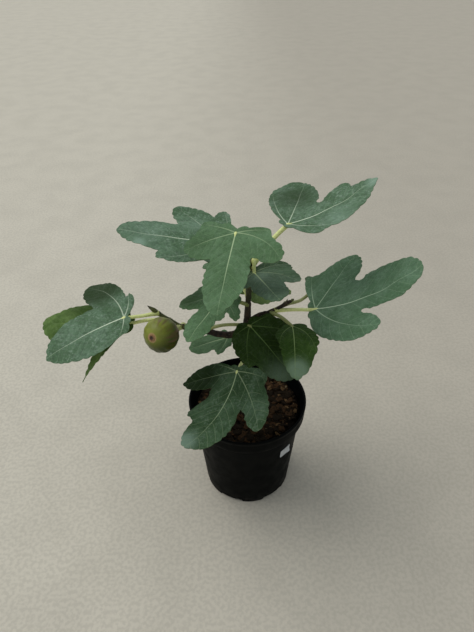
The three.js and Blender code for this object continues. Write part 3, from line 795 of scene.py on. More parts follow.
LIMB_TIP = 9                           # relief fades over this length at a limb's tip
OLD_SCARS = {"trunk": [131, 147, 166]}  # heights of knuckles that have lost their leaf
KNUCKLE_RISE = 0.55                    # a knuckle is a ring that stands out, with a groove in its middle
KNUCKLE_WIDTH = 1.7
GROOVE_DEPTH = 0.25
GROOVE_WIDTH = 0.5
FISSURE_DEPTHS = (0.16, 0.10)          # of the long fissures, and of the short ones
LUMP_DEPTH = 0.16
YOUNG_SMOOTHNESS = 0.85                # the share of the fissures that young bark loses
PORE_SPACING = 3
PORE_LENGTH = 0.9
PORE_WIDTH = 0.55
PORE_RISE = 0.22
FLARE_RISE = 0.9                       # the trunk's foot spreads in FLARE_LOBES roots over FLARE_LENGTH
FLARE_LENGTH = 4
FLARE_LOBES = 5


def ring_field(lengths, places, width):
    """How near each length is to one of the places: the sum of exp(-(d / width)^2)."""
    return bell(lengths[:, None] - np.array(places), width).sum(1)


def make_limb(name, generator):
    """A tube whose radius has knuckles where stalks leave it, fissures along old bark and raised pores.

    radius = stations' + knuckles + fissures and lumps, less on young bark, + root flare + pores. A
    pore's height is PORE_RISE exp(-(along / PORE_LENGTH)^2 - (around / PORE_WIDTH)^2).
    """
    path, rest = smooth_path(LIMBS[name], LIMB_STEP)
    radius, young = rest.T
    lengths = even_lengths(path)
    stalks = [np.array(leaf["from"]) for leaf in LEAVES if leaf["limb"] == name]
    scars = [path[np.argmin(np.abs(path[:, 2] - height))] for height in OLD_SCARS.get(name, [])]
    knots = [lengths[np.argmin(np.linalg.norm(path - place, axis=1))] for place in stalks + scars]
    inside = smooth(lengths[-1] - lengths, 0, LIMB_TIP)
    ring = KNUCKLE_RISE * ring_field(lengths, knots, KNUCKLE_WIDTH)
    knuckles = inside * (ring - GROOVE_DEPTH * ring_field(lengths, knots, GROOVE_WIDTH))
    turn = np.linspace(0, 1, LIMB_COLUMNS, endpoint=False)
    u, v = turn[None], (lengths / LIMB_TILE)[:, None]
    long_fissures = ripple(generator, u, v / 3, 9, 16) * FISSURE_DEPTHS[0]
    fissures = long_fissures + ripple(generator, u, v * 3, 7, 16) * FISSURE_DEPTHS[1]
    lumps = ripple(generator, u, v * 1.5, 3, 8) * LUMP_DEPTH
    old = (1 - YOUNG_SMOOTHNESS * young)[:, None]
    roots = np.sin(2 * np.pi * FLARE_LOBES * turn) * (name == "trunk")
    flare = FLARE_RISE * np.exp(-lengths / FLARE_LENGTH)[:, None] * roots
    pore_count = round(lengths[-1] / PORE_SPACING)
    pore_at = generator.uniform(0, lengths[-1], pore_count)
    pore_turn = generator.uniform(0, 1, pore_count)
    around = wrapped((turn[:, None] - pore_turn) * 360) / 360 * 2 * np.pi * radius.mean()
    along = lengths[:, None] - pore_at
    pores = np.exp(-(along[:, None] / PORE_LENGTH) ** 2 - (around[None] / PORE_WIDTH) ** 2).sum(-1)
    surface = radius[:, None] + knuckles[:, None] + old * (fissures + lumps) * inside[:, None] + flare
    surface = surface + PORE_RISE * pores * inside[:, None]
    grid = rings_round(path, surface)
    if name == "trunk":
        grid[..., 2] = np.maximum(grid[..., 2], path[0, 2])
    fields = {"young": on_shell(young[:, None] + 0 * u), "pores": on_shell(pores)}
    make_piece(f"{name}_bark", pointed_out(*shell(grid)), BARK, [name], fields)


BUD_ROWS = 16
BUD_COLUMNS = 14
AXIL_BUD = (3.6, 1.0)                  # length and radius
OTHER_BUDS = [
    # place, direction, length, radius: the left bough's end, by the fig, the right bough's end, the top
    ([-84.5, -9.4, 253.6], [-0.76, -0.1, 0.65], 12, 2.2),
    ([-62.5, -8.6, 235], [0.25, -0.3, 1], 4.5, 2.2),
    ([42.5, 4.8, 254.5], [0.9, 0.2, 0.35], 3.2, 1.5),
    ([0.8, -2.5, 294], [-0.02, -0.1, 1], 13, 2.8),
]


def bud(place, direction, length, radius):
    """A pointed bud that curves a little upwards.

    At share t of its length its radius is radius (sin(pi t^0.6))^0.9, with a ripple for its scales.
    """
    t = np.linspace(0.02, 0.98, BUD_ROWS)
    turn = np.linspace(0, 2 * np.pi, BUD_COLUMNS, endpoint=False)
    direction = unit(np.array(direction, float))
    path = np.array(place) + length * t[:, None] * direction
    path[:, 2] += 0.12 * length * t**2
    radii = radius * np.sin(np.pi * t**0.6) ** 0.9
    scales = 1 + 0.1 * np.sin(6 * np.pi * t)[:, None] * np.cos(2 * turn)
    grid = rings_round(path, radii[:, None] * scales)
    return pointed_out(*shell(grid)), on_shell(t[:, None] + 0 * turn)


def make_buds():
    """A bud in each stalk's axil, one at the end of each limb and one at the fig's stalk."""
    made = []
    for leaf in LEAVES:
        stations = np.array([station[:4] for station in LIMBS[leaf["limb"]]])
        limb_radius = stations[np.argmin(np.linalg.norm(stations[:, :3] - leaf["from"], axis=1)), 3]
        outward = unit(np.array(leaf["base"], float) - leaf["from"])
        up = unit(outward + [0, 0, 1.2])
        made.append(bud(np.array(leaf["from"]) + up * limb_radius * 0.8, up, *AXIL_BUD))
    made += [bud(*each) for each in OTHER_BUDS]
    make_scales("buds", made, bud_finish())


# ---------------------------------------------------------------- leaves
# from: where the stalk leaves its limb's middle; base: where it meets the blade; bow: how far the
# stalk's middle is lifted; curl: bend along the midrib, down is positive; cup: bend of the left
# and the right half, down is positive; lobes, from right to left: [angle of the tip from the
# midrib, share of the length, roundness of the side on its right, and on its left]; notches beside
# and between them: [angle, share of the length]; veins, the main ones: [angle at the tip, share,
# how much further round it leaves the stalk]; openings, where a notch is wider at its bottom than
# at its mouth: [angle, share, by how much in millimetres, and 1 or -1 if only the edge on its left
# or right moves, otherwise 0]; tones, painted light where a painted sky sheen makes the blade paler
# or, below 0, painted shade makes it darker: [angle, share, spread in millimetres, amount].

PLAIN_BLADE = {
    "lobes": [[-95, 0.5, 2, 2], [-48, 0.75, 2, 2], [0, 1, 1.6, 1.6], [48, 0.75, 2, 2], [95, 0.5, 2, 2]],
    "notches": [[-130, 0.2], [-72, 0.42], [-25, 0.5], [25, 0.5], [72, 0.42], [130, 0.2]],
    "veins": [[0, 1, 0], [46, 0.75, 14], [-46, 0.75, -14], [92, 0.5, 14], [-92, 0.5, -14]],
    "openings": [],
}

LEAVES = [
    {
        "name": "top_right", "limb": "trunk", "stalk_radius": 2, "from": [3.5, 0, 296], "base": [36, 12, 333],
        "bow": 3, "heading": 17, "pitch": 0, "roll": -5, "length": 92, "curl": -40, "cup": [-5, -5],
        "lobes": [[-57, 0.38, 2, 2], [0, 1, 1, 1.5], [19, 0.84, 2, 3], [64, 0.93, 1.8, 2.5]],
        "notches": [[-85, 0.1], [-44, 0.41], [13, 0.82], [29, 0.52], [100, 0.12]],
        "veins": [[0, 1, 8], [55, 0.9, 2], [-35, 0.5, -10], [80, 0.75, 10]],
        "openings": [[30, 0.54, 3, 0]],
        "painted_light_spots": [[60, 0.6, 30, -0.7], [-25, 0.5, 22, 0.5], [97, 0.75, 8, 1], [0, 0.97, 9, 1]],
        "blade": "grey", "stalk": "pale",
    },
    {
        "name": "top_left", "limb": "trunk", "from": [2, 0, 280], "base": [-19, 4, 319],
        "bow": 2, "heading": 176, "pitch": 5, "roll": -10, "length": 97, "curl": -5, "cup": [15, 15],
        "lobes": [
            [-84, 0.53, 2.5, 2], [-43, 0.72, 2, 2], [0, 1, 1.8, 1.6], [25, 0.66, 2, 1.1], [88, 0.3, 2, 2],
        ],
        "notches": [[-96, 0.27], [-70, 0.42], [-24, 0.51], [18, 0.62], [55, 0.3], [110, 0.2]],
        "veins": [[0, 1, 0], [-43, 0.7, 0], [26, 0.63, 15], [-84, 0.5, -10], [86, 0.4, 10]],
        "openings": [[-23, 0.58, 2, 0]],
        "painted_light_spots": [[0, 0.7, 24, 0.45], [10, 0.78, 5, 0.8], [26, 0.5, 12, -0.35], [-35, 0.35, 12, 0.4]],
        "blade": "grey", "stalk": "pale",
    },
    {
        "name": "top_front", "limb": "trunk", "from": [2.7, 0, 288], "base": [-10, -19, 342],
        "bow": 2, "heading": -103, "pitch": -20, "roll": 5, "length": 78, "curl": 10, "cup": [-10, -10],
        "lobes": [
            [-104, 0.4, 2.5, 2], [-60, 0.58, 2, 2], [0, 1, 1.8, 1.3], [59, 0.64, 2, 2], [96, 0.38, 2, 1.5],
        ],
        "notches": [[-122, 0.2], [-82, 0.43], [-29, 0.42], [36, 0.4], [82, 0.41], [118, 0.15]],
        "veins": [[0, 1, 0], [57, 0.64, 32], [-60, 0.57, -10], [95, 0.38, 15], [-102, 0.4, -15]],
        "openings": [[36, 0.46, 2, 0], [-29, 0.48, 2, 0]],
        "painted_light_spots": [[-62, 0.45, 13, -0.35]],
        "blade": "sage", "stalk": "pale",
    },
    {
        "name": "mid_left", "limb": "trunk", "from": [0.9, 0, 254], "base": [-24, -23, 280],
        "bow": 0, "heading": -118, "pitch": -5, "roll": 5, "length": 58, "curl": 5, "cup": [20, 20],
        "lobes": [
            [-112, 0.5, 2, 2], [-60, 0.67, 2, 2], [0, 1, 1.8, 2],
            [27, 0.54, 2, 2], [52, 0.6, 3, 1.5], [98, 0.33, 2, 2],
        ],
        "notches": [[-145, 0.25], [-92, 0.5], [-29, 0.4], [22, 0.55], [41, 0.38], [78, 0.35], [130, 0.2]],
        "veins": [[0, 1, 0], [50, 0.58, 15], [-58, 0.65, -10], [98, 0.33, 15], [-110, 0.48, -15]],
        "openings": [[41, 0.43, 1.5, 0], [-28, 0.46, 1.5, 0]],
        "painted_light_spots": [[-70, 0.5, 17, -0.7]],
        "blade": "sage", "stalk": "olive",
    },
    {
        "name": "mid_right", "limb": "trunk", "from": [5.4, -0.6, 302], "base": [6, -10, 297],
        "bow": 8, "heading": -70, "pitch": 10, "roll": 5, "length": 61, "curl": 0, "cup": [20, 20],
        "lobes": [
            [-95, 0.39, 2, 2], [-47, 0.49, 2, 2], [-2, 1, 1.6, 2], [36, 0.75, 2, 1.5], [98, 0.59, 2, 2.5],
        ],
        "notches": [[-135, 0.2], [-75, 0.37], [-31, 0.42], [23, 0.59], [71, 0.56], [145, 0.2]],
        "veins": [[-2, 1, 0], [36, 0.74, 28], [98, 0.57, 12], [-48, 0.48, -14], [-96, 0.38, -14]],
        "openings": [[23, 0.66, 1.5, 0]],
        "painted_light_spots": [[0, 0.15, 9, 0.4], [0, 0.5, 40, 0.45]],
        "blade": "deep", "stalk": "pale",
    },
    {
        "name": "mid_back", "limb": "trunk", "from": [1.5, 0, 271], "base": [8, 23, 256],
        "bow": 1, "heading": 50, "pitch": 0, "roll": 5, "length": 50, "curl": 10, "cup": [10, 10],
        "lobes": [
            [-100, 0.48, 3, 2], [-48, 0.75, 2, 2], [0, 1, 1.6, 1.6], [48, 0.75, 2, 2], [100, 0.48, 2, 3],
        ],
        "notches": [[-165, 0.3], [-72, 0.45], [-26, 0.52], [26, 0.52], [72, 0.45], [165, 0.3]],
        "veins": [[0, 1, 0], [46, 0.75, 14], [-46, 0.75, -14], [98, 0.48, 14], [-98, 0.48, -14]],
        "openings": [], "blade": "fresh", "stalk": "olive",
    },
    {
        "name": "back", "limb": "trunk", "from": [1.2, 0, 263], "base": [-14, 36, 270],
        "bow": 3, "heading": 110, "pitch": 5, "roll": 0, "length": 44, "curl": 20, "cup": [15, 15],
        **PLAIN_BLADE, "blade": "sage", "stalk": "pale",
    },
    {
        "name": "low_left", "limb": "trunk", "from": [-0.4, 0, 200], "base": [-20, 5, 209],
        "bow": 1, "heading": 200, "pitch": 0, "roll": -5, "length": 41, "curl": 10, "cup": [10, 10],
        "lobes": [[-89, 0.3, 2, 2], [-45, 0.62, 1.3, 2], [0, 1, 2, 2], [46, 0.6, 2, 2], [80, 0.3, 2, 2]],
        "notches": [[-112, 0.2], [-73, 0.28], [-31, 0.52], [32, 0.51], [66, 0.36], [105, 0.18]],
        "veins": [[0, 1, 0], [45, 0.6, 12], [-45, 0.6, -12], [-88, 0.3, -12]],
        "openings": [], "painted_light_spots": [[0, 0.6, 25, 0.2]], "blade": "sage", "stalk": "olive",
    },
    {
        "name": "pot_front", "limb": "trunk", "from": [-0.4, -0.2, 184], "base": [-11, -27, 192],
        "bow": 3, "heading": -120, "pitch": -35, "roll": 15, "length": 93, "curl": -40, "cup": [10, 10],
        "lobes": [
            [-62, 0.7, 1.2, 1.5], [-22, 0.7, 1.8, 2], [1, 1, 2, 2], [49, 0.74, 2.5, 1.5], [96, 0.38, 2, 2],
        ],
        "notches": [[-110, 0.1], [-37, 0.33], [-14, 0.69], [36, 0.46], [84, 0.38], [122, 0.15]],
        "veins": [[1, 1, 12], [49, 0.74, 10], [-61, 0.7, -4], [94, 0.38, 10], [-88, 0.36, -10]],
        "openings": [[-36, 0.45, 6, 1], [-42, 0.57, 9, 1], [36, 0.52, 3, 0]],
        "painted_light_spots": [[-65, 0.5, 25, -1.3], [49, 0.5, 20, 0.25], [-2, 0.95, 12, 1.2]],
        "blade": "deep", "stalk": "pale",
    },
    {
        "name": "centre_front", "limb": "left_bough", "from": [-45, -6.6, 228.4], "base": [2, -16, 241],
        "bow": 4, "heading": -50, "pitch": -20, "roll": 10, "length": 65, "curl": 10, "cup": [10, 10],
        "lobes": [[-40, 0.66, 1, 2], [1, 1, 2, 2.2], [44, 0.67, 2, 2], [82, 0.4, 2, 3]],
        "notches": [[-118, 0.2], [-31, 0.62], [33, 0.65], [72, 0.46], [99, 0.2]],
        "veins": [[1, 1, 0], [48, 0.65, 4], [-39, 0.65, -14], [84, 0.42, 10], [-86, 0.34, -14]],
        "openings": [],
        "painted_light_spots": [[-8, 0.85, 17, 0.55]],
        "blade": "bottle", "stalk": "olive",
    },
    {
        "name": "far_left", "limb": "left_bough", "from": [-84, -9.3, 252.8], "base": [-114, -22, 258],
        "bow": -1, "heading": 207, "pitch": -10, "roll": -10, "length": 76, "curl": 10, "cup": [20, 25],
        "lobes": [[-119, 0.42, 1.5, 3], [-80, 0.94, 1.8, 2.5], [2, 1.02, 1.5, 1.1], [72, 0.24, 2, 2]],
        "notches": [[-155, 0.12], [-114, 0.38], [-54, 0.46], [58, 0.28], [100, 0.12]],
        "veins": [[0, 1, -5], [-76, 0.93, -25], [-116, 0.42, -20], [58, 0.28, 10]],
        "openings": [[-54, 0.53, 1.5, 0]],
        "painted_light_spots": [[-80, 0.8, 30, -1.4], [0, 0.5, 25, 0.25]],
        "blade": "grey", "stalk": "pale",
    },
    {
        "name": "far_left_under", "limb": "left_bough", "from": [-74, -8.6, 243.2], "base": [-114, -9, 241],
        "bow": 2, "heading": 177, "pitch": 0, "roll": -5, "length": 88, "curl": 10, "cup": [110, 10],
        "lobes": [[-51, 0.54, 1.5, 2], [-4, 1, 1.6, 1.6], [54, 0.86, 0.7, 0.6]],
        "notches": [[-90, 0.12], [-38, 0.5], [43, 0.42], [71, 0.15]],
        "veins": [[-2, 1, 0], [55, 0.86, 0], [-50, 0.54, -14]],
        "openings": [],
        "painted_light_spots": [[-20, 0.7, 16, -0.6], [55, 0.8, 18, 0.3]],
        "blade": "lime", "stalk": "pale",
    },
    {
        "name": "right", "limb": "right_bough", "from": [26, 2.5, 244.6], "base": [66, 1, 247],
        "bow": 0, "heading": -5, "pitch": 25, "roll": 5, "length": 107, "curl": -20, "cup": [0, 0],
        "lobes": [[-45, 0.71, 1.2, 3], [-5, 1, 2.2, 2.2], [50, 0.7, 2, 1.3], [94, 0.46, 2, 2.5]],
        "notches": [[-120, 0.12], [-30, 0.47], [23, 0.46], [82, 0.47], [109, 0.12]],
        "veins": [[-4, 1, -15], [50, 0.7, 4], [-42, 0.7, -24], [90, 0.46, 8]],
        "openings": [[22, 0.49, 4, 0], [-30, 0.5, 2.5, 0]],
        "painted_light_spots": [[0, 0.4, 30, 0.2], [90, 0.4, 16, -0.4], [0, 0.9, 22, 0.2]],
        "blade": "slate", "stalk": "pale",
    },
    {
        "name": "right_under", "limb": "right_bough", "from": [37, 4, 251.3], "base": [72, 44, 240],
        "bow": -5, "heading": 0, "pitch": -10, "roll": 0, "length": 54, "curl": 15, "cup": [15, 15],
        **PLAIN_BLADE, "blade": "deep", "stalk": "olive",
    },
    {
        "name": "right_front", "limb": "right_bough", "from": [23, 2, 242.8], "base": [41, -26, 248],
        "bow": 2, "heading": -96, "pitch": 15, "roll": 5, "length": 63, "curl": 50, "cup": [10, 10],
        "lobes": [[-30, 0.42, 1.3, 1.5], [2, 1, 1.5, 1.8], [36, 0.6, 1, 1.3]],
        "notches": [[-75, 0.15], [-18, 0.55], [24, 0.72], [75, 0.22]],
        "veins": [[1, 1, 4], [30, 0.62, 24], [-16, 0.6, -30]],
        "openings": [],
        "painted_light_spots": [[4, 0.86, 10, 1.2]],
        "blade": "fir", "stalk": "olive",
    },
]

BLADE_BACK = 0.05                      # the edge straight behind the stalk, as a share of the length
NOTCH_ROUND = 1.25
OPENING_REACH = 3                      # an opening is felt this many times its own size away
FLAT_BEND = 1e-6                       # degrees by which a flat blade counts as bent
BLADE_THICKNESS = 0.5
EDGE_TRIALS = 2880
EDGE_STEP = 0.9                        # distance between points of the edge
RING_STEP = 1.7                        # distance between rings along the midrib
TOOTH_LENGTH = 8
TOOTH_DEPTH = 1.4
TOOTH_DRIFT = (1.4, 31)                # teeth drift this far to and fro, over this length
TOOTH_SIZES = (0.75, 0.35, 43)         # their size, how much it swells and shrinks, and over what length
VEIN_REGION = 40                       # degrees that count as one step away from a main vein
RIB_WIDTH = (0.50, 0.14)               # half-width of a main vein at the stalk and at its tip
SIDE_LOBE_RIB = 0.6                    # how clear a side lobe's main vein is beside the midrib
VEIN_SPACING = 0.105                   # between side veins, as a share of the blade's length
VEIN_LEAN = 0.75                       # how far a side vein runs forward for each step outward
VEIN_BEND = 0.9                        # how much more it does so further out
VEIN_SHIFT = 0.25                      # of a spacing: side veins leave sooner on the left than on the right
PILLOW = 0.35                          # rise of the blade between side veins
RIB_VALLEY = 0.35
VALLEY_WIDTH = 1.6
RIB_RIDGE = (1.2, 0.25)                # how far a main vein stands out below, at the stalk and at its tip
RIDGE_WIDTH = 0.9
SIDE_RIDGE = 0.3                       # how far a side vein stands out below
WAVE_HEIGHT = 1.3                      # the blade's tip waves up and down by this
WAVE_LENGTHS = (34, 41)                # along the midrib and across it
NUDGE = 0.05                           # step by which the blade's slope is measured
STALK_STEP = 0.8
STALK_COLUMNS = 20
STALK_RADIUS = 1.65
STALK_SWELLING = (0.5, 3.5)            # how much a stalk is thicker at its limb, and over what length


def blade_radius(leaf, angles):
    """The edge's distance from the stalk at each angle.

    From a lobe's tip, t = 0, to the notch beside it, t = 1, it is between the two by
    (1 - t ^ roundness) ^ NOTCH_ROUND. Behind the outer notches it runs smoothly to BLADE_BACK.
    """
    lobes, notches = np.array(leaf["lobes"], float), np.array(leaf["notches"], float)
    mine = np.clip(np.searchsorted(notches[:, 0], angles) - 1, 0, len(lobes) - 1)
    middle, share, right, left = lobes[mine].T
    on_left = angles > middle
    notch, depth = notches[mine + on_left].T
    t = np.clip((angles - middle) / (notch - middle), 0, 1)
    rise = (1 - t ** np.where(on_left, left, right)) ** NOTCH_ROUND
    outer = np.abs(np.where(on_left, notches[-1, 0], notches[0, 0]))
    radius = depth + (share - depth) * rise
    return leaf["length"] * (radius + (BLADE_BACK - radius) * smooth(np.abs(angles), outer, 180))


def blade_frame(leaf):
    """Midrib, left-hand and upper directions of a blade at its base."""
    heading, pitch, roll = np.radians([leaf["heading"], leaf["pitch"], leaf["roll"]])
    midrib = np.array([np.cos(pitch) * np.cos(heading), np.cos(pitch) * np.sin(heading), np.sin(pitch)])
    level = np.array([-np.sin(heading), np.cos(heading), 0])
    left = np.cos(roll) * level + np.sin(roll) * np.cross(midrib, level)
    return midrib, left, np.cross(midrib, left)


def blade_point(leaf, along, across):
    """A point of the blade's middle surface: it bends in one arc along the midrib and one across."""
    midrib, left, upper = blade_frame(leaf)

    def arc(bend, length):
        """How far along and how far down an arc reaches, and how far it has turned."""
        rate = np.radians(np.where(bend == 0, FLAT_BEND, bend)) / leaf["length"]
        turn = rate * length
        return (np.sin(turn) / rate)[..., None], ((1 - np.cos(turn)) / rate)[..., None], turn[..., None]

    reach, drop, turn = arc(leaf["curl"], along)
    aside, fall, _ = arc(np.where(across > 0, *leaf["cup"]), np.abs(across))
    turned_upper = upper * np.cos(turn) + midrib * np.sin(turn)
    main = np.array(leaf["base"]) + midrib * reach - upper * drop
    return main + left * np.sign(across)[..., None] * aside - turned_upper * fall


def blade_outline(leaf, generator):
    """The flat blade's edge in equal steps, with rounded teeth cut in.

    It is cut in by TOOTH_DEPTH (1 - |sin(pi way / TOOTH_LENGTH)|^0.8), which fades near the stalk
    and in deep notches. Returns the points and how far round each is.
    """
    angles = np.linspace(-180, 180, EDGE_TRIALS + 1)
    radius = blade_radius(leaf, angles)
    edge = radius[:, None] * np.stack([np.cos(np.radians(angles)), np.sin(np.radians(angles))], 1)
    lengths = lengths_along(edge)
    count = round(lengths[-1] / EDGE_STEP)
    way = np.arange(count) * lengths[-1] / count
    outline = np.stack([np.interp(way, lengths, edge[:, axis]) for axis in (0, 1)], 1)
    tangent = unit(np.roll(outline, -1, 0) - np.roll(outline, 1, 0))
    inward = np.stack([-tangent[:, 1], tangent[:, 0]], 1)
    drift, drift_length = TOOTH_DRIFT
    uneven = way + drift * np.sin(2 * np.pi * (way / drift_length + generator.random()))
    teeth = 1 - np.abs(np.sin(np.pi * uneven / TOOTH_LENGTH)) ** 0.8
    usual, swell, swell_length = TOOTH_SIZES
    size = usual + swell * np.sin(2 * np.pi * (way / swell_length + generator.random()))
    out = smooth(np.linalg.norm(outline, axis=1) / leaf["length"], 0.3, 0.45)
    return outline + inward * (TOOTH_DEPTH * teeth * size * out)[:, None], way


def painted_light_field(leaf, radius, angle):
    """The blade's painted light and shade: a half, and half the sum of its tones, each amount exp(-(d /
    spread)^2), d away from its middle.
    """
    point = radius * np.exp(1j * np.radians(angle))
    total = 0 * radius
    for middle, share, spread, amount in leaf.get("painted_light_spots", []):
        away = np.abs(point - share * leaf["length"] * np.exp(1j * np.radians(middle)))
        total = total + amount * bell(away, spread)
    return 0.5 + 0.5 * np.clip(total, -1, 1)


def vein_fields(leaf, radius, angle):
    """Where the veins run, for points at a radius and an angle from the midrib.

    A main vein swings to its tip's angle as it goes outward, and a point belongs to the vein that is
    fewest degrees away. There, along and aside are the distances along and off the vein, and side
    veins are where (along - VEIN_LEAN |aside| - VEIN_BEND aside^2 / length) / spacing, plus VEIN_SHIFT
    on the left and minus it on the right, is a whole number.
    """
    middle, share, swing = (column[:, None, None] for column in np.array(leaf["veins"], float).T)
    reach = np.clip(radius / (share * leaf["length"]), 0, 1)
    off = wrapped(angle - middle - swing * (1 - reach))
    measure = np.abs(off) / VEIN_REGION
    order = np.sort(measure, axis=0)
    mine = np.argmin(measure, axis=0)[None]
    off, reach = (np.take_along_axis(each, mine, 0)[0] for each in (off, reach))
    along, aside = radius * np.cos(np.radians(off)), radius * np.sin(np.radians(off))
    forward = VEIN_LEAN * np.abs(aside) + VEIN_BEND * aside**2 / leaf["length"]
    shift = VEIN_SHIFT * np.tanh(aside / 2)
    return {
        "rib": aside / from_to(RIB_WIDTH, reach),
        "rib_holds": (1 - smooth(np.abs(aside), 3, 5)) * np.where(mine[0] == 0, 1, SIDE_LOBE_RIB),
        "vein": (along - forward) / (VEIN_SPACING * leaf["length"]) + shift,
        "vein_holds": smooth(order[1] - order[0], 0.08, 0.25) * smooth(radius / leaf["length"], 0.06, 0.14),
        "painted_light": painted_light_field(leaf, radius, angle),
        "aside": aside,
        "reach": reach,
    }


def open_notches(leaf, flat):
    """Flat points near an opening's middle, at a distance d, pushed away from it by size (1 - d / reach)^2.

    With side 1 or -1, only points to the left or right of the line from the stalk to the middle move.
    """
    for angle, share, size, side in leaf["openings"]:
        ray = np.array([np.cos(np.radians(angle)), np.sin(np.radians(angle))])
        middle = share * leaf["length"] * ray
        offset = flat - middle
        distance = np.linalg.norm(offset, axis=-1, keepdims=True)
        push = size * np.clip(1 - distance / (OPENING_REACH * size), 0, 1) ** 2
        leftward = ray[0] * offset[..., 1:] - ray[1] * offset[..., :1]
        push = push * (smooth(side * leftward, -1, 2) if side else 1)
        flat = middle + offset * (1 + push / np.maximum(distance, 0.1))
    return flat


def make_blade(leaf, generator):
    """The blade: rings that shrink the edge towards the stalk, on an upper and a lower face.

    Upper height = thickness / 2 + pillows between side veins - valleys over main veins + a wave that
    grows towards the edge. The lower face follows it, with veins standing out in place of valleys.
    """
    outline, way = blade_outline(leaf, generator)
    rings = round(leaf["length"] / RING_STEP)
    share = (np.arange(1, rings + 1) / rings)[:, None]
    along, across = share * outline[:, 0], share * outline[:, 1]
    radius, angle = np.hypot(along, across), np.degrees(np.arctan2(across, along))
    veins = vein_fields(leaf, radius, angle)
    along, across = np.moveaxis(open_notches(leaf, np.stack([along, across], -1)), -1, 0)
    distance, reach = np.abs(veins["aside"]), veins["reach"]
    between = np.abs(np.sin(np.pi * veins["vein"])) ** 0.8
    fade = veins["vein_holds"] * (1 - smooth(share, 0.8, 1.0))
    pillows = PILLOW * between * fade * smooth(distance, 0.4, 4)
    valleys = RIB_VALLEY * bell(distance, VALLEY_WIDTH) * (1 - 0.6 * reach)
    wave = np.sin(2 * np.pi * (along / WAVE_LENGTHS[0] + generator.random()))
    wave = wave * np.sin(2 * np.pi * (across / WAVE_LENGTHS[1] + generator.random()))
    sway = WAVE_HEIGHT * wave * (radius / leaf["length"]) ** 1.5
    ridges = from_to(RIB_RIDGE, reach) * bell(distance, RIDGE_WIDTH)
    side_ridges = SIDE_RIDGE * fade * np.clip(1 - between / 0.35, 0, 1)
    middle = blade_point(leaf, along, across)
    d_along = blade_point(leaf, along + NUDGE, across) - middle
    d_across = blade_point(leaf, along, across + NUDGE) - middle
    normal = unit(np.cross(d_along, d_across))
    upper = middle + normal * (BLADE_THICKNESS / 2 + pillows - valleys + sway)[..., None]
    lower = middle + normal * (pillows + sway - BLADE_THICKNESS / 2 - ridges - side_ridges)[..., None]
    grid = np.concatenate([upper, lower[::-1]])
    fields = {key: veins[key] for key in ("rib", "rib_holds", "vein", "vein_holds", "painted_light")}
    fields["outward"] = share + 0 * radius
    fields = {key: on_shell(np.concatenate([value, value[::-1]])) for key, value in fields.items()}
    fields["under"] = on_shell(np.repeat([0.0, 1.0], rings)[:, None] + 0 * way)
    name, shape = leaf["name"], pointed_out(*shell(grid))
    make_piece(f"blade_{name}", shape, BLADES[leaf["blade"]], [f"leaf_{name}"], fields)


def make_stalk(leaf):
    """A stalk from its limb to just under the blade, where it runs on thinner into the midrib."""
    midrib, _, upper = blade_frame(leaf)
    start, base = np.array(leaf["from"], float), np.array(leaf["base"], float)
    middle = (start + base) / 2 + [0, 0, leaf["bow"]]
    radius = leaf.get("stalk_radius", STALK_RADIUS)
    # The limb's middle, halfway, under the blade's base, and then 3 and 8 mm on under the midrib
    stations = [
        [*start, radius + 0.5],
        [*middle, radius],
        [*(base - 0.7 * radius * upper), radius],
        [*(base + 3 * midrib - 1.2 * upper), 0.7 * radius],
        [*(base + 8 * midrib - 1.0 * upper), 0.25 * radius],
    ]
    path, rest = smooth_path(stations, STALK_STEP)
    lengths = even_lengths(path)
    swelling, swelling_length = STALK_SWELLING
    radius = rest[:, 0] + swelling * bell(lengths, swelling_length)
    turn = np.linspace(0, 2 * np.pi, STALK_COLUMNS, endpoint=False)
    radii = radius[:, None] * (1 + 0.05 * np.cos(2 * turn))
    fields = {"outward": on_shell((lengths / lengths[-1])[:, None] + 0 * turn)}
    shape = pointed_out(*shell(rings_round(path, radii)))
    make_piece(f"stalk_{leaf['name']}", shape, STALKS[leaf["stalk"]], fields=fields)


# ---------------------------------------------------------------- fruit

FIG_RADIUS = 16.5
FIG_CENTRE = np.array([-80, -34, 246])
FIG_STALK_END = np.array([-65, -8.2, 234.5])
FIG_RIBS = 13
FIG_RIB_RISE = 0.014                   # as a share of the radius, like the dents
FIG_DENT = 0.006
FIG_STEP = 0.6
FIG_COLUMNS = 144
FIG_TILE = 60                          # the dents repeat after this length
STREAK_TILE = 400                      # and the streaks after this one
BLUSH_FROM = (0.75, -0.15, 0.75)       # the side that is streaked
FIG_LIGHT_FROM = (-0.5, -0.15, 0.85)       # and the side that the light comes from, which is painted lighter and yellower
FIG_PROFILE = [
    # from the eye to the stalk's end, in fig radii: [radius, distance from the middle]
    [0.03, -0.90], [0.10, -0.955], [0.20, -0.975], [0.38, -0.94], [0.60, -0.82], [0.83, -0.55], [0.97, -0.20],
    [1.0, 0.08], [0.95, 0.36], [0.82, 0.62], [0.62, 0.84], [0.43, 1.02], [0.29, 1.22], [0.22, 1.45],
    [0.19, 1.7], [0.18, 2.05], [0.20, 2.3], [0.06, 2.38],
]
EYE_SHIFT = np.array([2.0, 0, 2.2])    # how far the eye stands beside the fig's own axis
EYE_DEPTH = 0.965                      # of the eye from the fig's middle, in fig radii
EYE_SCALES = 9
EYE_ROUNDS = [
    # radius of the round, length of its scales, how far it stands out
    (2.3, 2.6, 0.55),
    (1.3, 1.7, 0.25),
]
SCALE_RADIUS = 0.8
SCALE_CURL = 0.4                       # how far a scale's inner end stands out
SCALE_FLATNESS = 0.55                  # the share of its height that a scale loses
SCALE_ROWS = 8
SCALE_COLUMNS = 12


def fig_axes():
    """Two directions across the fig and the one along it, from its eye to its stalk."""
    along = unit(FIG_STALK_END - FIG_CENTRE)
    side = unit(np.cross(along, [0, 0, 1]))
    return np.stack([side, np.cross(along, side), along])


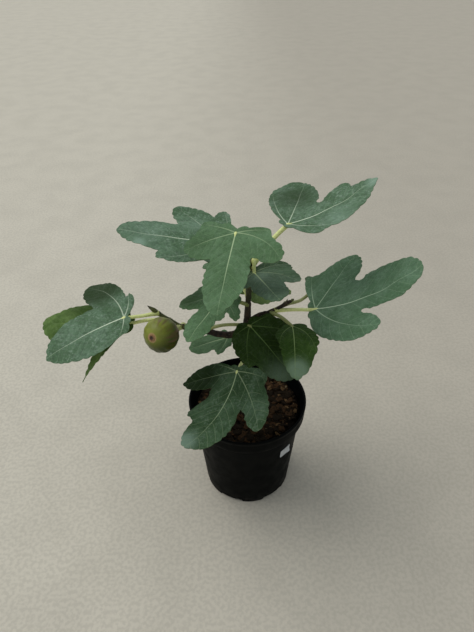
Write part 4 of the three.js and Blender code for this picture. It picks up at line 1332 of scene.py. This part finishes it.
def make_fig(generator):
    """A lathe about the fig's own axis, whose eye end is pushed aside by EYE_SHIFT.

    radius = profile's (1 + low ribs that fade at both ends) (1 + soft dents).
    """
    stations = np.array([[radius, 0, along] for radius, along in FIG_PROFILE])
    path, _ = smooth_path(stations * FIG_RADIUS, FIG_STEP)
    radius, along = path[:, :1], path[:, 2:]
    turn = np.linspace(0, 2 * np.pi, FIG_COLUMNS, endpoint=False)
    around = turn / (2 * np.pi)
    ribs = 1 + FIG_RIB_RISE * np.cos(FIG_RIBS * turn) * smooth(radius / FIG_RADIUS, 0.3, 0.9)
    dents = 1 + FIG_DENT * ripple(generator, around, along / FIG_TILE, 3, 8)
    reach = radius * ribs * dents
    axes = fig_axes()
    local = np.stack([reach * np.cos(turn), reach * np.sin(turn), along + 0 * turn], -1) @ axes
    grid = FIG_CENTRE + local + smooth(-along / FIG_RADIUS, 0.1, 1)[..., None] * EYE_SHIFT
    from_eye = lengths_along(path)[:, None]
    blush = smooth(unit(local) @ unit(np.array(BLUSH_FROM)), 0.1, 0.75)
    fields = {
        "from_eye": from_eye + 0 * turn,
        "blush": blush * smooth(from_eye, 8, 16) * (1 - smooth(from_eye, 36, 42)),
        "streaks": 0.5 + 0.22 * ripple(generator, around, from_eye / STREAK_TILE, 26, 12),
        # Painted light and shade: high on the side that faces FIG_LIGHT_FROM, low on the far side
        "painted_lit_side": smooth(unit(local) @ unit(np.array(FIG_LIGHT_FROM)), -0.25, 1.0),
    }
    fields = {key: on_shell(value) for key, value in fields.items()}
    make_piece("fig_fruit", pointed_out(*shell(grid)), fig_finish(), ["fig"], fields)
    make_eye(axes)


def make_eye(axes):
    """Two rounds of small scales that close over the fig's eye.

    A scale is a flattened pod: its radius at share t of its length is SCALE_RADIUS sin(pi t^0.8).
    """
    made = []
    t = np.linspace(0.03, 0.97, SCALE_ROWS)[:, None]
    radii = SCALE_RADIUS * np.sin(np.pi * t**0.8) + np.zeros((1, SCALE_COLUMNS))
    for round_radius, length, rise in EYE_ROUNDS:
        for scale in range(EYE_SCALES):
            turn = 2 * np.pi * (scale + rise) / EYE_SCALES
            outward = np.cos(turn) * axes[0] + np.sin(turn) * axes[1]
            depth = EYE_DEPTH * FIG_RADIUS + rise
            middle = FIG_CENTRE + EYE_SHIFT - axes[2] * depth + outward * round_radius
            path = middle + (0.5 - t) * length * outward - SCALE_CURL * t**2 * axes[2]
            grid = rings_round(path, radii)
            high = (grid - middle) @ axes[2]
            grid = grid - SCALE_FLATNESS * high[..., None] * axes[2]
            made.append((pointed_out(*shell(grid)), on_shell(t + 0 * radii)))
    make_scales("fig_eye", made, eye_finish())


# ---------------------------------------------------------------- floor and light

FLOOR_HALF = 30000
FLOOR_LIT_LEFT = (0.620, 0.570, 0.465)     # the floor's colour FLOOR_FADE millimetres to the left, painted brighter as if lit from the left
FLOOR_SHADED_RIGHT = (0.470, 0.425, 0.345)    # and as far to the right, painted darker
FLOOR_FADE = 450
FLOOR_DARK = 0.45                      # the share of FLOOR_LIT_LEFT that its grain and its stains darken to
FLOOR_GRAIN = 4
FLOOR_STAIN = 70
SKY_COLOUR = (0.86, 0.93, 1.0)
SKY_STRENGTH = 0.55
SUN_STRENGTH = 1.5
SUN_ANGLE = 55
SUN_FROM = (-0.6, 0.25, 1.0)           # towards the light: high, to the left and a little behind


def make_floor():
    """A pale floor that reaches past every view, painted a little brighter on the left and darker on the
    right as if lit from the left, with grain and stains.
    """
    far = FLOOR_HALF * MM
    mesh = bpy.data.meshes.new("floor")
    mesh.from_pydata([(-far, -far, 0), (far, -far, 0), (far, far, 0), (-far, far, 0)], [], [(0, 1, 2, 3)])
    finish = Finish("floor", 0.9, Specular_IOR_Level=0.1)
    # Painted light: the floor brightens towards the left
    aside = finish.add("SeparateXYZ", {0: finish.place()}, "X")
    across = finish.between(aside, -FLOOR_FADE * MM, FLOOR_FADE * MM)
    colour = finish.mix(across, FLOOR_LIT_LEFT, FLOOR_SHADED_RIGHT)
    grain = finish.between(finish.noise(FLOOR_GRAIN, 6), 0.40, 0.62, 0.0, 0.22)
    stains = finish.between(finish.noise(FLOOR_STAIN, 5), 0.35, 0.7, 0.0, 0.12)
    colour = finish.mix(grain, colour, tinted(FLOOR_LIT_LEFT, FLOOR_DARK))
    colour = finish.mix(stains, colour, tinted(FLOOR_LIT_LEFT, FLOOR_DARK))
    mesh.materials.append(finish.use(colour))
    floor = bpy.data.objects.new("floor", mesh)
    bpy.context.scene.collection.objects.link(floor)


def make_light():
    """An even pale sky with one very soft sun."""
    world = bpy.data.worlds.new("sky")
    world.use_nodes = True
    background = world.node_tree.nodes["Background"]
    background.inputs["Color"].default_value = (*SKY_COLOUR, 1)
    background.inputs["Strength"].default_value = SKY_STRENGTH
    bpy.context.scene.world = world
    data = bpy.data.lights.new("sun", "SUN")
    data.energy = SUN_STRENGTH
    data.angle = math.radians(SUN_ANGLE)
    sun = bpy.data.objects.new("sun", data)
    back = unit(np.array(SUN_FROM))
    side = unit(np.cross([0, 1, 0], back))
    turn = Matrix(np.stack([side, np.cross(back, side), back], 1).tolist())
    sun.matrix_world = turn.to_4x4()
    bpy.context.scene.collection.objects.link(sun)
    bpy.context.scene.view_settings.view_transform = "Standard"


# ---------------------------------------------------------------- the plant

make_camera()
make_light()
make_floor()

BARK = bark_finish()
BLADES = {kind: blade_finish(f"{kind} blade", *values) for kind, values in BLADE_KINDS.items()}
STALKS = {kind: stalk_finish(f"{kind} stalk", *values) for kind, values in STALK_KINDS.items()}

make_pot()
make_label()
make_mix(np.random.default_rng(SEED))
for order, limb in enumerate(LIMBS):
    make_limb(limb, np.random.default_rng([SEED, order]))
make_buds()
for order, leaf in enumerate(LEAVES):
    make_blade(leaf, np.random.default_rng([SEED, 100 + order]))
    make_stalk(leaf)
make_fig(np.random.default_rng(SEED + 1))
